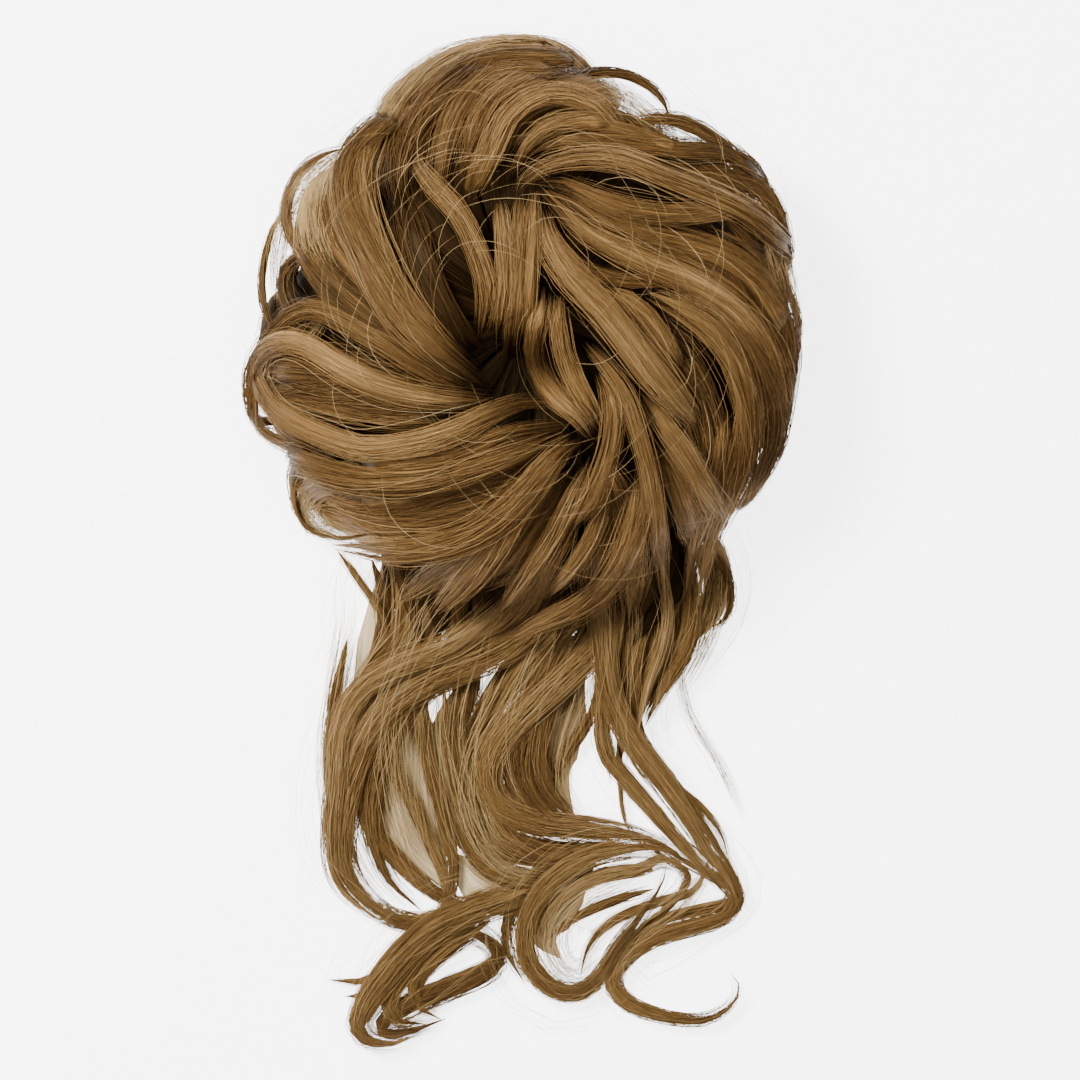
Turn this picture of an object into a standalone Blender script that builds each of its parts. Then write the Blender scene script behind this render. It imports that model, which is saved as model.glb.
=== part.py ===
"""Top knot hairpiece: a false bun of curled locks on an elastic ring, with loose curled tails.

It lies on its back, as on a table: +Z is up through the bun and the tails run towards -Y.
Sizes are in metres. The elastic ring's centre is the centre of the bun, and everything is
laid out from there. At the end the whole piece is moved so that the origin is at the
bottom centre of its box.
"""

import math

import bpy
import bmesh
from mathutils import Vector

MM = 0.001

# Bun: a dome of hair with a hollow under it for the wearer's own knot
BUN_RADIUS = 71.5 * MM
BUN_HEIGHT = 56.0 * MM
RIM_HEIGHT = 21.0 * MM
RIM_FALL = 0.6
CORE_RADIUS = 63.0 * MM
CORE_DEPTH = 4.2 * MM
RIB_COUNT = 12
RIB_DEPTH = 1.6 * MM
RIB_TWIST = 1.1

# Locks: flattened rolls of hair
LOCK_STEP = 11.0 * MM
THIN_LOCK = 11
LOCK_FULLNESS = 1.3
LOCK_FLATNESS = 0.62
LOCK_TUCK = 5.0 * MM
LOCK_TUCK_SHARE = 1 / 6
LOCK_TAPER_SHARE = 0.2
LOCK_TIP_SHARE = 0.45

# Hollow and the elastic ring at its mouth
BAND_INNER_RADIUS = 22.0 * MM
BAND_WIDTH = 7.0 * MM
BAND_HEIGHT = 5.0 * MM
BAND_ROUNDING = 1.2 * MM
HOLLOW_HEIGHT = 28.0 * MM
SEAT_GAP = 0.3 * MM

# Eye: the dark hole in the swirl, a little in front of the middle. The bun dips towards it
# and keeps EYE_ROOF of hair over the hollow there
EYE_RADIUS = 6.5 * MM
EYE_OFFSET_X = -1.5 * MM
EYE_OFFSET_Y = -11.0 * MM
EYE_ROOF = 11.0 * MM
EYE_DIP = BUN_HEIGHT - HOLLOW_HEIGHT - EYE_ROOF
EYE_SPREAD = 15.0 * MM
EYE_FLOOR = 4.0 * MM

# Tails: they leave from under the front of the bun and lie on the table
TAIL_REACH = 189.5 * MM
TAIL_ROOT_THICKNESS = 12.0 * MM
TAIL_END_THICKNESS = 4.5 * MM
TAIL_FULLNESS = 1.15
TAIL_STEP = 7.5 * MM
TAIL_THINS_OVER = 0.45 * TAIL_REACH
TAIL_FLATNESS = 0.7
TAIL_LEAST_DEPTH = 0.8 * MM
TAIL_ROOT_SHARE = 1 / 3
TAIL_TAPER_SHARE = 0.3
TAIL_TIP_SHARE = 0.35

# Shares of the core's radius and height, from the foot outwards and over the top
CORE_SECTIONS = (
    # name, radius share, height share of RIM_HEIGHT (None: on the dome)
    ("foot_inner", 0.50, 0.00),
    ("foot_outer", 0.80, 0.00),
    ("side", 0.95, 0.40),
    ("rim", 1.00, 0.85),
    ("shoulder", 0.93, None),
    ("upper", 0.76, None),
    ("crown", 0.55, None),
    ("inner", 0.33, None),
    ("lip", 0.14, None),
)
CORE_SEGMENTS = 4 * RIB_COUNT
RING_SEGMENTS = 32

# Bun locks. Routes are in percent of BUN_RADIUS from the ring's centre, x to the right and
# y away from the tails. Width is in percent of BUN_RADIUS, lift in millimetres.
BUN_LOCKS = (
    # name, width, lift, route
    ("crown_outer", 10, -3, (
        (-48, 50), (-51, 64), (-46, 77), (-36, 87), (-23, 94), (-6, 98), (9, 97), (18, 89),
        (16, 76),
    )),
    ("crown_middle", 13, 0, (
        (-41, 32), (-43, 54), (-41, 70), (-33, 81), (-19, 88), (-4, 90), (8, 84), (10, 74),
    )),
    ("crown_inner", 13, 2, ((-28, 36), (-32, 54), (-29, 69), (-20, 78), (-8, 80), (1, 74))),
    ("arch", 9, 6, ((25, 77), (18, 82), (6, 82), (-5, 74), (-11, 61), (-16, 47), (-16, 34))),
    ("right_top_outer", 10, -2, ((-1, 54), (10, 63), (28, 69), (46, 71), (64, 67), (74, 59))),
    ("right_top_inner", 9, 3, ((0, 51), (13, 59), (32, 59), (50, 61), (66, 64))),
    ("right_sweep_high", 11, 2, ((3, 50), (19, 48), (35, 42), (57, 39), (77, 45), (89, 41))),
    ("right_sweep_middle", 12, 0, ((8, 46), (24, 36), (46, 30), (68, 24), (84, 10), (92, -8))),
    ("right_sweep_low", 11, 2, ((13, 32), (32, 24), (53, 14), (73, 1), (88, -17), (93, -37))),
    ("right_rim", 10, -8, ((81, 48), (89, 32), (91, 10), (91, -12), (89, -33), (83, -53))),
    ("right_arc", 13, 2, ((43, 10), (63, 3), (79, -10), (87, -28), (85, -48), (75, -68))),
    ("right_inner", 13, 2, ((23, 14), (35, -1), (47, -15), (57, -30), (66, -48), (72, -67))),
    ("centre_left", 9, 1, ((-31, 47), (-22, 37), (-15, 25), (-12, 10), (-13, -4))),
    ("centre_back", 11, 1, ((-7, 48), (-4, 32), (-4, 14), (-7, -3))),
    ("centre_curl", 11, 4, ((3, 48), (6, 28), (4, 10), (3, -8), (9, -24), (24, -40))),
    ("centre_right", 8, 2, ((13, 10), (15, -8), (19, -26), (27, -44))),
    ("centre_under", 14, -2, ((22, -4), (32, -24), (38, -44), (42, -62))),
    ("centre_fall", 14, 2, ((24, -1), (37, -21), (44, -41), (48, -63), (51, -84), (48, -99))),
    ("fall_left", 12, 3, ((28, -19), (32, -37), (30, -57), (23, -77), (9, -95), (-8, -110))),
    ("fall_right", 12, 1, ((40, -52), (38, -77), (28, -95), (13, -110))),
    ("fall_outer", 12, 4, ((19, -40), (9, -59), (-1, -77), (-16, -92), (-34, -104))),
    ("left_tip", 10, 2, ((18, -44), (4, -59), (-14, -72), (-34, -80), (-54, -82), (-71, -78))),
    ("left_low_lobe", 11, -2, (
        (-1, -52), (-27, -55), (-52, -56), (-72, -52), (-79, -61), (-74, -71), (-56, -75),
    )),
    ("left_middle", 11, 2, ((13, -36), (-8, -41), (-30, -48), (-56, -49), (-77, -44))),
    ("left_loop", 12, -1, (
        (-8, -28), (-34, -25), (-59, -21), (-80, -6), (-91, -10), (-94, -24), (-87, -37),
        (-70, -43),
    )),
    ("left_sweep", 10, 4, (
        (-7, -26), (-27, -9), (-43, 8), (-57, 27), (-65, 45), (-60, 61), (-47, 70),
    )),
    ("left_side", 14, 0, ((-37, -19), (-56, -6), (-70, 7), (-81, 17), (-85, 32))),
    ("left_inner", 13, 0, ((-34, -1), (-47, 21), (-50, 43), (-47, 61))),
    ("stray_top", 3.2, -2, ((8, 83), (19, 89), (30, 92), (42, 89), (49, 82), (53, 72))),
    ("stray_right", 3.2, -2, ((66, 62), (79, 63), (88, 55), (87, 40))),
    ("stray_left_high", 4.0, -3, (
        (-57, 67), (-72, 61), (-82, 52), (-85, 39), (-81, 27), (-72, 19),
    )),
    ("stray_left_low", 3.2, -4, ((-83, 42), (-93, 25), (-96, 10), (-93, -1), (-84, -9))),
)

# Tail locks. x is in percent of BUN_RADIUS, y in percent of TAIL_REACH away from the ring's
# centre. Width is in percent of BUN_RADIUS at the lock's middle, root in the same unit at
# its upper end. Rise is how far the lower end lies above the table, in millimetres.
TAIL_LOCKS = {
    "tail_left": (
        # name, root, width, rise, route
        ("outer", 14, 13, 0, ((-22, 21), (-27, 34), (-43, 44), (-60, 51), (-67, 58), (-66, 65))),
        ("long", 15, 14, 0, (
            (-3, 21), (-4, 34), (-18, 44), (-37, 51), (-54, 58), (-63, 66), (-67, 73), (-61, 79),
            (-45, 82.5), (-27, 81.5), (-13, 79.5),
        )),
        ("edge", 10, 12, 0, ((-38, 22), (-46, 30), (-49, 38), (-46, 46))),
        ("long_inner", 12, 16, 0, ((-6, 22), (-10, 36), (-22, 45), (-38, 52), (-52, 60))),
        ("middle", 14, 14, 0, ((-12, 22), (-16, 34), (-32, 43), (-48, 50))),
        ("strand_one", 6, 6, 0, ((-53, 56), (-42, 63), (-34, 71), (-28, 79))),
        ("strand_two", 6, 6, 0, ((-40, 52), (-34, 61), (-30, 69), (-26, 76), (-20, 79.5))),
        ("strand_three", 7, 6, 0, ((-31, 48), (-29, 57), (-25, 66), (-19, 72.5), (-12, 77))),
        ("fan_outer", 8, 11, 0, (
            (-11, 79), (-25, 82.5), (-43, 87.5), (-55, 92.5), (-62, 96), (-56, 98.5), (-40, 98),
        )),
        ("fan_inner", 6, 8, 0, (
            (-17, 81.5), (-10, 86), (-17, 91), (-36, 93.5), (-50, 96), (-45, 97.5), (-29, 95.5),
        )),
        ("fan_tip", 4, 3, 0, ((-45, 89.5), (-59, 90.3), (-72, 90.1))),
    ),
    "tail_centre": (
        ("curl", 14, 15, 0, (
            (20, 21), (20, 35), (17, 44), (6, 51), (-7, 57), (-13, 62.7), (-8, 67.5), (8, 70),
            (28, 71.3), (44, 71.8),
        )),
        ("mass", 12, 14, 0, ((18, 22), (15, 35), (10, 44), (4, 50), (-3, 55))),
        ("curl_inner", 9, 7, 0, ((12, 46), (20, 53), (15, 59), (9, 64), (8, 70))),
        ("ring", 6, 7, 7, (
            (43, 72.8), (28, 73.3), (10, 76), (0, 81), (-1, 86), (5, 90.5), (16, 92.2), (26, 89.5),
            (37, 84.0), (46, 79.4), (47, 76.6),
        )),
        ("ring_fill", 8, 10, 0, ((40, 74), (28, 76.5), (13, 79), (5, 83))),
    ),
    "tail_right": (
        ("long", 9, 9, 0, (
            (38, 21), (38, 36), (33, 45.5), (36, 54), (43, 62), (54, 70), (66, 75.7), (76, 79.5),
            (76, 82), (64, 82.5), (51, 84), (41, 87.5), (39, 91), (48, 94.5), (63, 95.5),
            (75, 93.5), (77, 91), (69, 89.2),
        )),
        ("side_curl", 12, 5, 0, (
            (49, 21), (49, 33), (43, 41), (37, 50), (43, 57), (61, 63.5), (71, 68), (76, 73),
        )),
        ("mass", 15, 13, 0, ((60, 22), (61, 32), (60, 40), (51, 47), (37, 51))),
        ("edge_loop", 9, 8, 0, ((66, 28), (73, 31), (76, 36), (73, 40), (64, 43), (59, 47))),
    ),
}

# Finishes read from the real thing: tan heat-resistant fibre, and a knitted elastic
HAIR_COLOUR = (0.27, 0.15, 0.055, 1.0)
HAIR_ROUGHNESS = 0.42
BAND_COLOUR = (0.11, 0.065, 0.03, 1.0)
BAND_ROUGHNESS = 0.85


def clear_scene():
    """Empty the scene of whatever it opened with."""
    for old in list(bpy.data.objects):
        bpy.data.objects.remove(old)


def finish(name, colour, roughness):
    """A plain surface of one colour."""
    made = bpy.data.materials.new(name)
    made.use_nodes = True
    shader = made.node_tree.nodes["Principled BSDF"]
    shader.inputs["Base Color"].default_value = colour
    shader.inputs["Roughness"].default_value = roughness
    shader.inputs["Metallic"].default_value = 0.0
    return made


def dome_height(x, y):
    """Height of the bun's outer surface over a point of the table."""
    away = math.hypot(x, y)
    share = min(1.0, away / BUN_RADIUS)
    dome = RIM_HEIGHT + (BUN_HEIGHT - RIM_HEIGHT) * math.sqrt(1.0 - share * share)
    dome -= RIM_FALL * max(0.0, away - BUN_RADIUS)
    from_eye = math.hypot(x - EYE_OFFSET_X, y - EYE_OFFSET_Y)
    return dome - EYE_DIP * math.exp(-((from_eye / EYE_SPREAD) ** 2))


def smooth_route(corners, step):
    """Points about one step apart along the smooth curve that passes through the corners."""
    ends = [2 * corners[0] - corners[1]] + list(corners) + [2 * corners[-1] - corners[-2]]
    route = []
    for before, start, stop, after in zip(ends, ends[1:], ends[2:], ends[3:]):
        count = max(1, round((stop - start).length / step))
        for i in range(count):
            t = i / count
            route.append(0.5 * (
                2 * start
                + (stop - before) * t
                + (2 * before - 5 * start + 4 * stop - after) * t ** 2
                + (3 * start - before - 3 * stop + after) * t ** 3
            ))
    route.append(corners[-1].copy())
    return route


def swept_lock(route, half_widths, half_depths, width):
    """A closed lock of hair: flattened oval sections that stand square to the route."""
    mesh = bmesh.new()
    sides = 6 if width < THIN_LOCK else 8
    rings = []
    last = len(route) - 1
    for i, place in enumerate(route):
        along = (route[min(i + 1, last)] - route[max(i - 1, 0)]).normalized()
        across = along.cross(Vector((0, 0, 1))).normalized()
        over = across.cross(along)
        ring = []
        for k in range(sides):
            turn = 2 * math.pi * (k + 0.5) / sides
            sideways = half_widths[i] * math.cos(turn)
            upwards = half_depths[i] * math.sin(turn)
            ring.append(mesh.verts.new(place + across * sideways + over * upwards))
        rings.append(ring)
    for ring, following in zip(rings, rings[1:]):
        for k in range(sides):
            beside = (k + 1) % sides
            mesh.faces.new((ring[k], ring[beside], following[beside], following[k]))
    mesh.faces.new(list(reversed(rings[0])))
    mesh.faces.new(rings[-1])
    bmesh.ops.recalc_face_normals(mesh, faces=mesh.faces)
    return mesh


def add_object(name, mesh, material):
    """A named object made from a bmesh, which is freed."""
    data = bpy.data.meshes.new(name)
    mesh.to_mesh(data)
    mesh.free()
    made = bpy.data.objects.new(name, data)
    bpy.context.scene.collection.objects.link(made)
    data.materials.append(material)
    data.shade_smooth()
    return made


def fullness(from_end, taper_share, tip_share):
    """How full a lock is at this share of its length from an end, where it closes to a tip."""
    return tip_share + (1.0 - tip_share) * math.sqrt(min(1.0, from_end / taper_share))


def bun_lock(name, width, lift, route_percent, material):
    """One lock of the bun, lying on the dome with both ends tucked into it."""
    corners = [Vector((x, y, 0)) * (BUN_RADIUS / 100) for x, y in route_percent]
    route = smooth_route(corners, LOCK_STEP)
    half_width = LOCK_FULLNESS * width * BUN_RADIUS / 200
    half_depth = LOCK_FLATNESS * half_width
    last = len(route) - 1
    half_widths = []
    half_depths = []
    for i, place in enumerate(route):
        from_end = min(i, last - i) / last
        full = fullness(from_end, LOCK_TAPER_SHARE, LOCK_TIP_SHARE)
        half_widths.append(half_width * full)
        half_depths.append(half_depth * full)
        tuck = LOCK_TUCK * (1.0 - min(1.0, from_end / LOCK_TUCK_SHARE))
        place.z = dome_height(place.x, place.y) - half_depth + lift * MM - tuck
    return add_object("lock_" + name, swept_lock(route, half_widths, half_depths, width), material)


def tail_thickness(away):
    """Thickness of the tail's hair at a distance from the ring's centre towards the tips."""
    share = min(1.0, max(0.0, (away - BUN_RADIUS) / TAIL_THINS_OVER))
    return TAIL_ROOT_THICKNESS + (TAIL_END_THICKNESS - TAIL_ROOT_THICKNESS) * share


def tail_lock(name, row, material, grown=0.0):
    """One lock of the tails, lying on the table and rising towards its end by the row's rise."""
    root, width, rise, route_percent = row
    corners = [Vector((x * BUN_RADIUS / 100, -y * TAIL_REACH / 100, 0)) for x, y in route_percent]
    route = smooth_route(corners, TAIL_STEP)
    route[0] += 2 * grown * (route[0] - route[1]).normalized()
    last = len(route) - 1
    half_widths = []
    half_depths = []
    for i, place in enumerate(route):
        share = i / last
        percent = root + (width - root) * min(1.0, share / TAIL_ROOT_SHARE)
        full = fullness(1.0 - share, TAIL_TAPER_SHARE, TAIL_TIP_SHARE)
        half_width = TAIL_FULLNESS * percent * BUN_RADIUS / 200 * full
        half_depth = TAIL_FLATNESS * half_width + TAIL_LEAST_DEPTH
        half_depth = min(tail_thickness(-place.y) / 2, half_depth)
        half_widths.append(half_width + grown)
        half_depths.append(half_depth + 1.5 * grown)
        place.z = half_depth + rise * MM * max(0.0, 2 * share - 1.0)
    return add_object(name, swept_lock(route, half_widths, half_depths, width), material)


def core_mesh():
    """The hair inside the bun: a dome closed underneath, without its hollow."""
    mesh = bmesh.new()
    rings = []
    last = len(CORE_SECTIONS) - 1
    for i, (name, radius_share, height_share) in enumerate(CORE_SECTIONS):
        wind = RIB_TWIST * (1.0 - i / last)
        ring = []
        for k in range(CORE_SEGMENTS):
            turn = 2 * math.pi * k / CORE_SEGMENTS
            rib = RIB_DEPTH * math.cos(RIB_COUNT * (turn + wind))
            radius = radius_share * (CORE_RADIUS + rib)
            x = radius * math.cos(turn)
            y = radius * math.sin(turn)
            if height_share is None:
                x += EYE_OFFSET_X * (1.0 - radius_share)
                y += EYE_OFFSET_Y * (1.0 - radius_share)
                z = dome_height(x, y) - CORE_DEPTH + rib
            else:
                z = height_share * RIM_HEIGHT
            ring.append(mesh.verts.new((x, y, z)))
        rings.append(ring)
    for ring, following in zip(rings, rings[1:]):
        for k in range(CORE_SEGMENTS):
            beside = (k + 1) % CORE_SEGMENTS
            mesh.faces.new((ring[k], ring[beside], following[beside], following[k]))
    mesh.faces.new(list(reversed(rings[0])))
    mesh.faces.new(rings[-1])
    bmesh.ops.recalc_face_normals(mesh, faces=mesh.faces)
    return mesh


def turned_mesh(profile, segments, centre=(0.0, 0.0)):
    """A closed turned shape. The profile is a loop of (radius, height), or runs pole to pole."""
    mesh = bmesh.new()
    rings = []
    for radius, height in profile:
        if radius == 0.0:
            rings.append([mesh.verts.new((centre[0], centre[1], height))])
            continue
        ring = []
        for k in range(segments):
            turn = 2 * math.pi * k / segments
            ring.append(mesh.verts.new((
                centre[0] + radius * math.cos(turn),
                centre[1] + radius * math.sin(turn),
                height,
            )))
        rings.append(ring)
    pole_to_pole = profile[0][0] == 0.0
    pairs = list(zip(rings, rings[1:]))
    if not pole_to_pole:
        pairs.append((rings[-1], rings[0]))
    for ring, following in pairs:
        for k in range(segments):
            beside = (k + 1) % segments
            if len(ring) == 1:
                mesh.faces.new((ring[0], following[beside], following[k]))
            elif len(following) == 1:
                mesh.faces.new((ring[k], ring[beside], following[0]))
            else:
                mesh.faces.new((ring[k], ring[beside], following[beside], following[k]))
    bmesh.ops.recalc_face_normals(mesh, faces=mesh.faces)
    return mesh


def make_band(material):
    """The elastic ring: flat where it meets the table, with its edges rounded."""
    inner = BAND_INNER_RADIUS
    outer = BAND_INNER_RADIUS + BAND_WIDTH
    soft = BAND_ROUNDING
    profile = (
        (inner + soft, 0.0),
        (outer - soft, 0.0),
        (outer, soft),
        (outer, BAND_HEIGHT - soft),
        (outer - soft, BAND_HEIGHT),
        (inner + soft, BAND_HEIGHT),
        (inner, BAND_HEIGHT - soft),
        (inner, soft),
    )
    return add_object("elastic_band", turned_mesh(profile, RING_SEGMENTS), material)


def make_cutters(material):
    """What the bun is hollowed by: the knot's space, the ring's seat, the eye and the tails."""
    below = -5.0 * MM
    hollow = turned_mesh((
        (0.0, below),
        (BAND_INNER_RADIUS, below),
        (BAND_INNER_RADIUS, 0.7 * HOLLOW_HEIGHT),
        (0.6 * BAND_INNER_RADIUS, HOLLOW_HEIGHT),
        (0.0, HOLLOW_HEIGHT),
    ), RING_SEGMENTS)
    seat_radius = BAND_INNER_RADIUS + BAND_WIDTH + SEAT_GAP
    seat = turned_mesh((
        (0.0, below),
        (seat_radius, below),
        (seat_radius, BAND_HEIGHT + SEAT_GAP),
        (0.0, BAND_HEIGHT + SEAT_GAP),
    ), RING_SEGMENTS)
    eye_bottom = HOLLOW_HEIGHT + EYE_FLOOR
    eye = turned_mesh((
        (0.0, eye_bottom),
        (0.8 * EYE_RADIUS, eye_bottom),
        (1.5 * EYE_RADIUS, BUN_HEIGHT + LOCK_TUCK),
        (0.0, BUN_HEIGHT + LOCK_TUCK),
    ), 16, (EYE_OFFSET_X, EYE_OFFSET_Y))
    cutters = []
    for name, mesh in (("hollow", hollow), ("seat", seat), ("eye", eye)):
        cutters.append(add_object("cut_" + name, mesh, material))
    for tail, rows in TAIL_LOCKS.items():
        for name, *row in rows:
            cutters.append(tail_lock(f"cut_{tail}_{name}", row, material, grown=SEAT_GAP))
    return cutters


def combine(target, helpers, operation):
    """Join or cut the target by a group of helpers, which are then removed.

    MANIFOLD keeps dozens of grazing locks closed, where EXACT leaves open edges.
    """
    group = bpy.data.collections.new("helpers")
    for helper in helpers:
        group.objects.link(helper)
    step = target.modifiers.new("combined", "BOOLEAN")
    step.operation = operation
    step.operand_type = "COLLECTION"
    step.collection = group
    step.solver = "MANIFOLD"
    graph = bpy.context.evaluated_depsgraph_get()
    combined = bpy.data.meshes.new_from_object(target.evaluated_get(graph))
    target.modifiers.clear()
    target.data = combined
    for helper in list(helpers):
        bpy.data.objects.remove(helper)
    bpy.data.collections.remove(group)


def keep_outer_shell(target):
    """Drop the small shells that locks enclose between them, so that the hair is solid there."""
    mesh = bmesh.new()
    mesh.from_mesh(target.data)
    waiting = set(mesh.faces)
    shells = []
    while waiting:
        front = [waiting.pop()]
        shell = list(front)
        while front:
            for side in front.pop().edges:
                if len(side.link_faces) != 2:
                    continue
                for face in side.link_faces:
                    if face in waiting:
                        waiting.discard(face)
                        front.append(face)
                        shell.append(face)
        shells.append(shell)
    shells.sort(key=len)
    for shell in shells[:-1]:
        bmesh.ops.delete(mesh, geom=shell, context="FACES")
    mesh.to_mesh(target.data)
    mesh.free()


def make_bun(material):
    """The bun: its core and every lock fused in one piece, then hollowed."""
    bun = add_object("hair_bun", core_mesh(), material)
    locks = [bun_lock(name, width, lift, route, material) for name, width, lift, route in BUN_LOCKS]
    combine(bun, locks, "UNION")
    keep_outer_shell(bun)
    combine(bun, make_cutters(material), "DIFFERENCE")
    keep_outer_shell(bun)
    return bun


def make_tail(name, rows, material):
    """One tail: its longest lock with the others fused to it."""
    locks = [tail_lock(f"{name}_{lock}", row, material) for lock, *row in rows]
    tail = locks[0]
    tail.name = name
    combine(tail, locks[1:], "UNION")
    keep_outer_shell(tail)
    return tail


def move_origin_to_base(parts):
    """Carry every object on one empty, set so that the origin is at the box's bottom centre."""
    base = bpy.data.objects.new("hairpiece", None)
    bpy.context.scene.collection.objects.link(base)
    for made in list(bpy.data.objects):
        if made is not base:
            made.parent = base
    bpy.context.view_layer.update()
    graph = bpy.context.evaluated_depsgraph_get()
    corners = []
    for part in parts:
        shape = part.evaluated_get(graph)
        corners += [shape.matrix_world @ Vector(corner) for corner in shape.bound_box]
    low = Vector([min(corner[axis] for corner in corners) for axis in range(3)])
    high = Vector([max(corner[axis] for corner in corners) for axis in range(3)])
    base.location = (-(low.x + high.x) / 2, -(low.y + high.y) / 2, -low.z)
    bpy.context.view_layer.update()


def main():
    clear_scene()
    elastic = finish("knitted_elastic", BAND_COLOUR, BAND_ROUGHNESS)
    bun_fibre = finish("bun_fibre", HAIR_COLOUR, HAIR_ROUGHNESS)
    parts = [make_band(elastic), make_bun(bun_fibre)]
    for name, rows in TAIL_LOCKS.items():
        fibre = finish(name + "_fibre", HAIR_COLOUR, HAIR_ROUGHNESS)
        parts.append(make_tail(name, rows, fibre))
    move_origin_to_base(parts)


main()
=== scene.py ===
import math

import bpy
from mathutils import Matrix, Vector, noise


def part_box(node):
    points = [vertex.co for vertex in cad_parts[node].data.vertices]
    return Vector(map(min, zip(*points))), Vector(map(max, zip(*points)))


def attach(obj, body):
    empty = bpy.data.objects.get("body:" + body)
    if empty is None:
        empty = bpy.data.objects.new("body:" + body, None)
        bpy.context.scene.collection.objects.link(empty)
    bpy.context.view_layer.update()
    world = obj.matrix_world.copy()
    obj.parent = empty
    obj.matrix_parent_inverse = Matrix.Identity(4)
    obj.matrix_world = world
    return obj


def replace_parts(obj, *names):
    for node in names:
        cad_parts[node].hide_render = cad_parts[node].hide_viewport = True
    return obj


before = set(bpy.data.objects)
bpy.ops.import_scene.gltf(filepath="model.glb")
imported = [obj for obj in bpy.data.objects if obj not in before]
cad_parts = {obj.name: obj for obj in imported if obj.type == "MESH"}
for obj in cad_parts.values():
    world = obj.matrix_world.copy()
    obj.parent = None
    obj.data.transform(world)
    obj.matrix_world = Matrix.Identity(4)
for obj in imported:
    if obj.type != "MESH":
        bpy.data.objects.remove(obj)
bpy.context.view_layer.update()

noise.seed_set(21)
mm = 0.001

# The photo looks straight down, so places are read in pixels of its frame
photoView = {
    "size": 1080,
    "step": 0.26 * mm,  # length of one pixel
    "bandPixel": (530, 320),  # centre of the hidden elastic ring
}

bandLow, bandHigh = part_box("elastic_band")
bandCentre = Vector((
    (bandLow[0] + bandHigh[0]) / 2,
    (bandLow[1] + bandHigh[1]) / 2,
    0,
))
bandInner = 22 * mm
bandOuter = (bandHigh[0] - bandLow[0]) / 2
bandHeight = bandHigh[2]

# The bun's form, measured from the CAD, with places from the band's centre
bunForm = {
    "radius": 71.5 * mm,
    "height": 55 * mm,
    "rimHeight": 21 * mm,
    "rimFall": 0.75,  # how steeply the height falls past the radius
    "middleHeight": 14 * mm,  # widest part of the rounded side
    "halfHeight": 42 * mm,
    "rimLean": 0.5,  # how far locks on the side face up instead of out
    "eyePlace": Vector((-3 * mm, -14 * mm)),
    "eyeDip": 15 * mm,
    "eyeSpread": 11 * mm,
    "hollowHeight": 28 * mm,
}

# The tails' form: thick by the bun, thin at the tips
tailForm = {
    "reach": 190 * mm,
    "rootThick": 12 * mm,
    "endThick": 5 * mm,
    "layerLow": 0.12,  # height of layer 0, in shares of the thickness there
    "layerStep": 0.19,
}

# How locks are laid on the bun
lockLay = {
    "points": 30,  # places along one guide
    "surfaceLayer": 4.2,  # the layer that lies at the bun's own height
    "layerStep": 2.0 * mm,
    "widening": 1.15,  # over the width read from the photo, so that neighbours touch
    "tuckDepth": 8 * mm,  # how far a free end dips between its neighbours
    "tuckShare": 0.24,
    "rimShare": 0.74,  # an end farther out than this goes on over the rim
    "endNarrow": 3.0,  # a lock narrows over one part in this many at each end
    "floorClear": 0.25 * mm,
}

# How far painted shade darkens the hair between the locks
shadeForm = {
    "depth": 15 * mm,  # darkest this far under the dome
    "side": 0.3,  # on the bun's side, past the dome
    "table": 0.55,  # darkest between the tails' locks
}


def linear(hexColour):
    # One sRGB hex colour as linear RGBA
    values = []
    for start in (0, 2, 4):
        share = int(hexColour[start:start + 2], 16) / 255
        values.append(share / 12.92 if share <= 0.04045 else ((share + 0.055) / 1.055) ** 2.4)
    return (*values, 1)


def addNode(tree, kind, place=(0, 0), links=None, **settings):
    # Adds one node, sets its fields and connects or fills its inputs
    made = tree.nodes.new(kind)
    made.location = place
    for field, value in settings.items():
        setattr(made, field, value)
    for socket, value in (links or {}).items():
        if isinstance(value, bpy.types.NodeSocket):
            tree.links.new(value, made.inputs[socket])
        else:
            made.inputs[socket].default_value = value
    return made


def maths(tree, operation, first, second=0.0, third=None):
    # One scalar sum and its result
    links = {0: first, 1: second}
    if third is not None:
        links[2] = third
    return addNode(tree, "ShaderNodeMath", links=links, operation=operation).outputs[0]


def vectorMaths(tree, operation, first, second=None, scale=None):
    # One vector sum and its result
    links = {0: first}
    if second is not None:
        links[1] = second
    if scale is not None:
        links["Scale"] = scale
    return addNode(tree, "ShaderNodeVectorMath", links=links, operation=operation).outputs[0]


def newMaterial(name, fields):
    # A new material, its tree and its shader with these fields set
    material = bpy.data.materials.new(name)
    material.use_nodes = True
    shader = material.node_tree.nodes["Principled BSDF"]
    for field, value in fields.items():
        shader.inputs[field].default_value = value
    return material, material.node_tree, shader


def colourRamp(tree, amount, colours, positions=(0.0, 1.0)):
    # One colour for each position, blended between them
    ramp = addNode(tree, "ShaderNodeValToRGB", (-500, 100), {"Fac": amount})
    elements = ramp.color_ramp.elements
    for element, end in ((elements[0], 0), (elements[1], -1)):
        element.position = positions[end]
        element.color = linear(colours[end])
    for position, colour in list(zip(positions, colours))[1:-1]:
        elements.new(position).color = linear(colour)
    return ramp.outputs["Color"]


# The low stops hold painted shade for hair buried between the locks
hairStops = (0.0, 0.28, 0.62, 1.0)  # from hair buried between the locks to hair in full light
hairShine = "e8cfa0"


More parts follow.
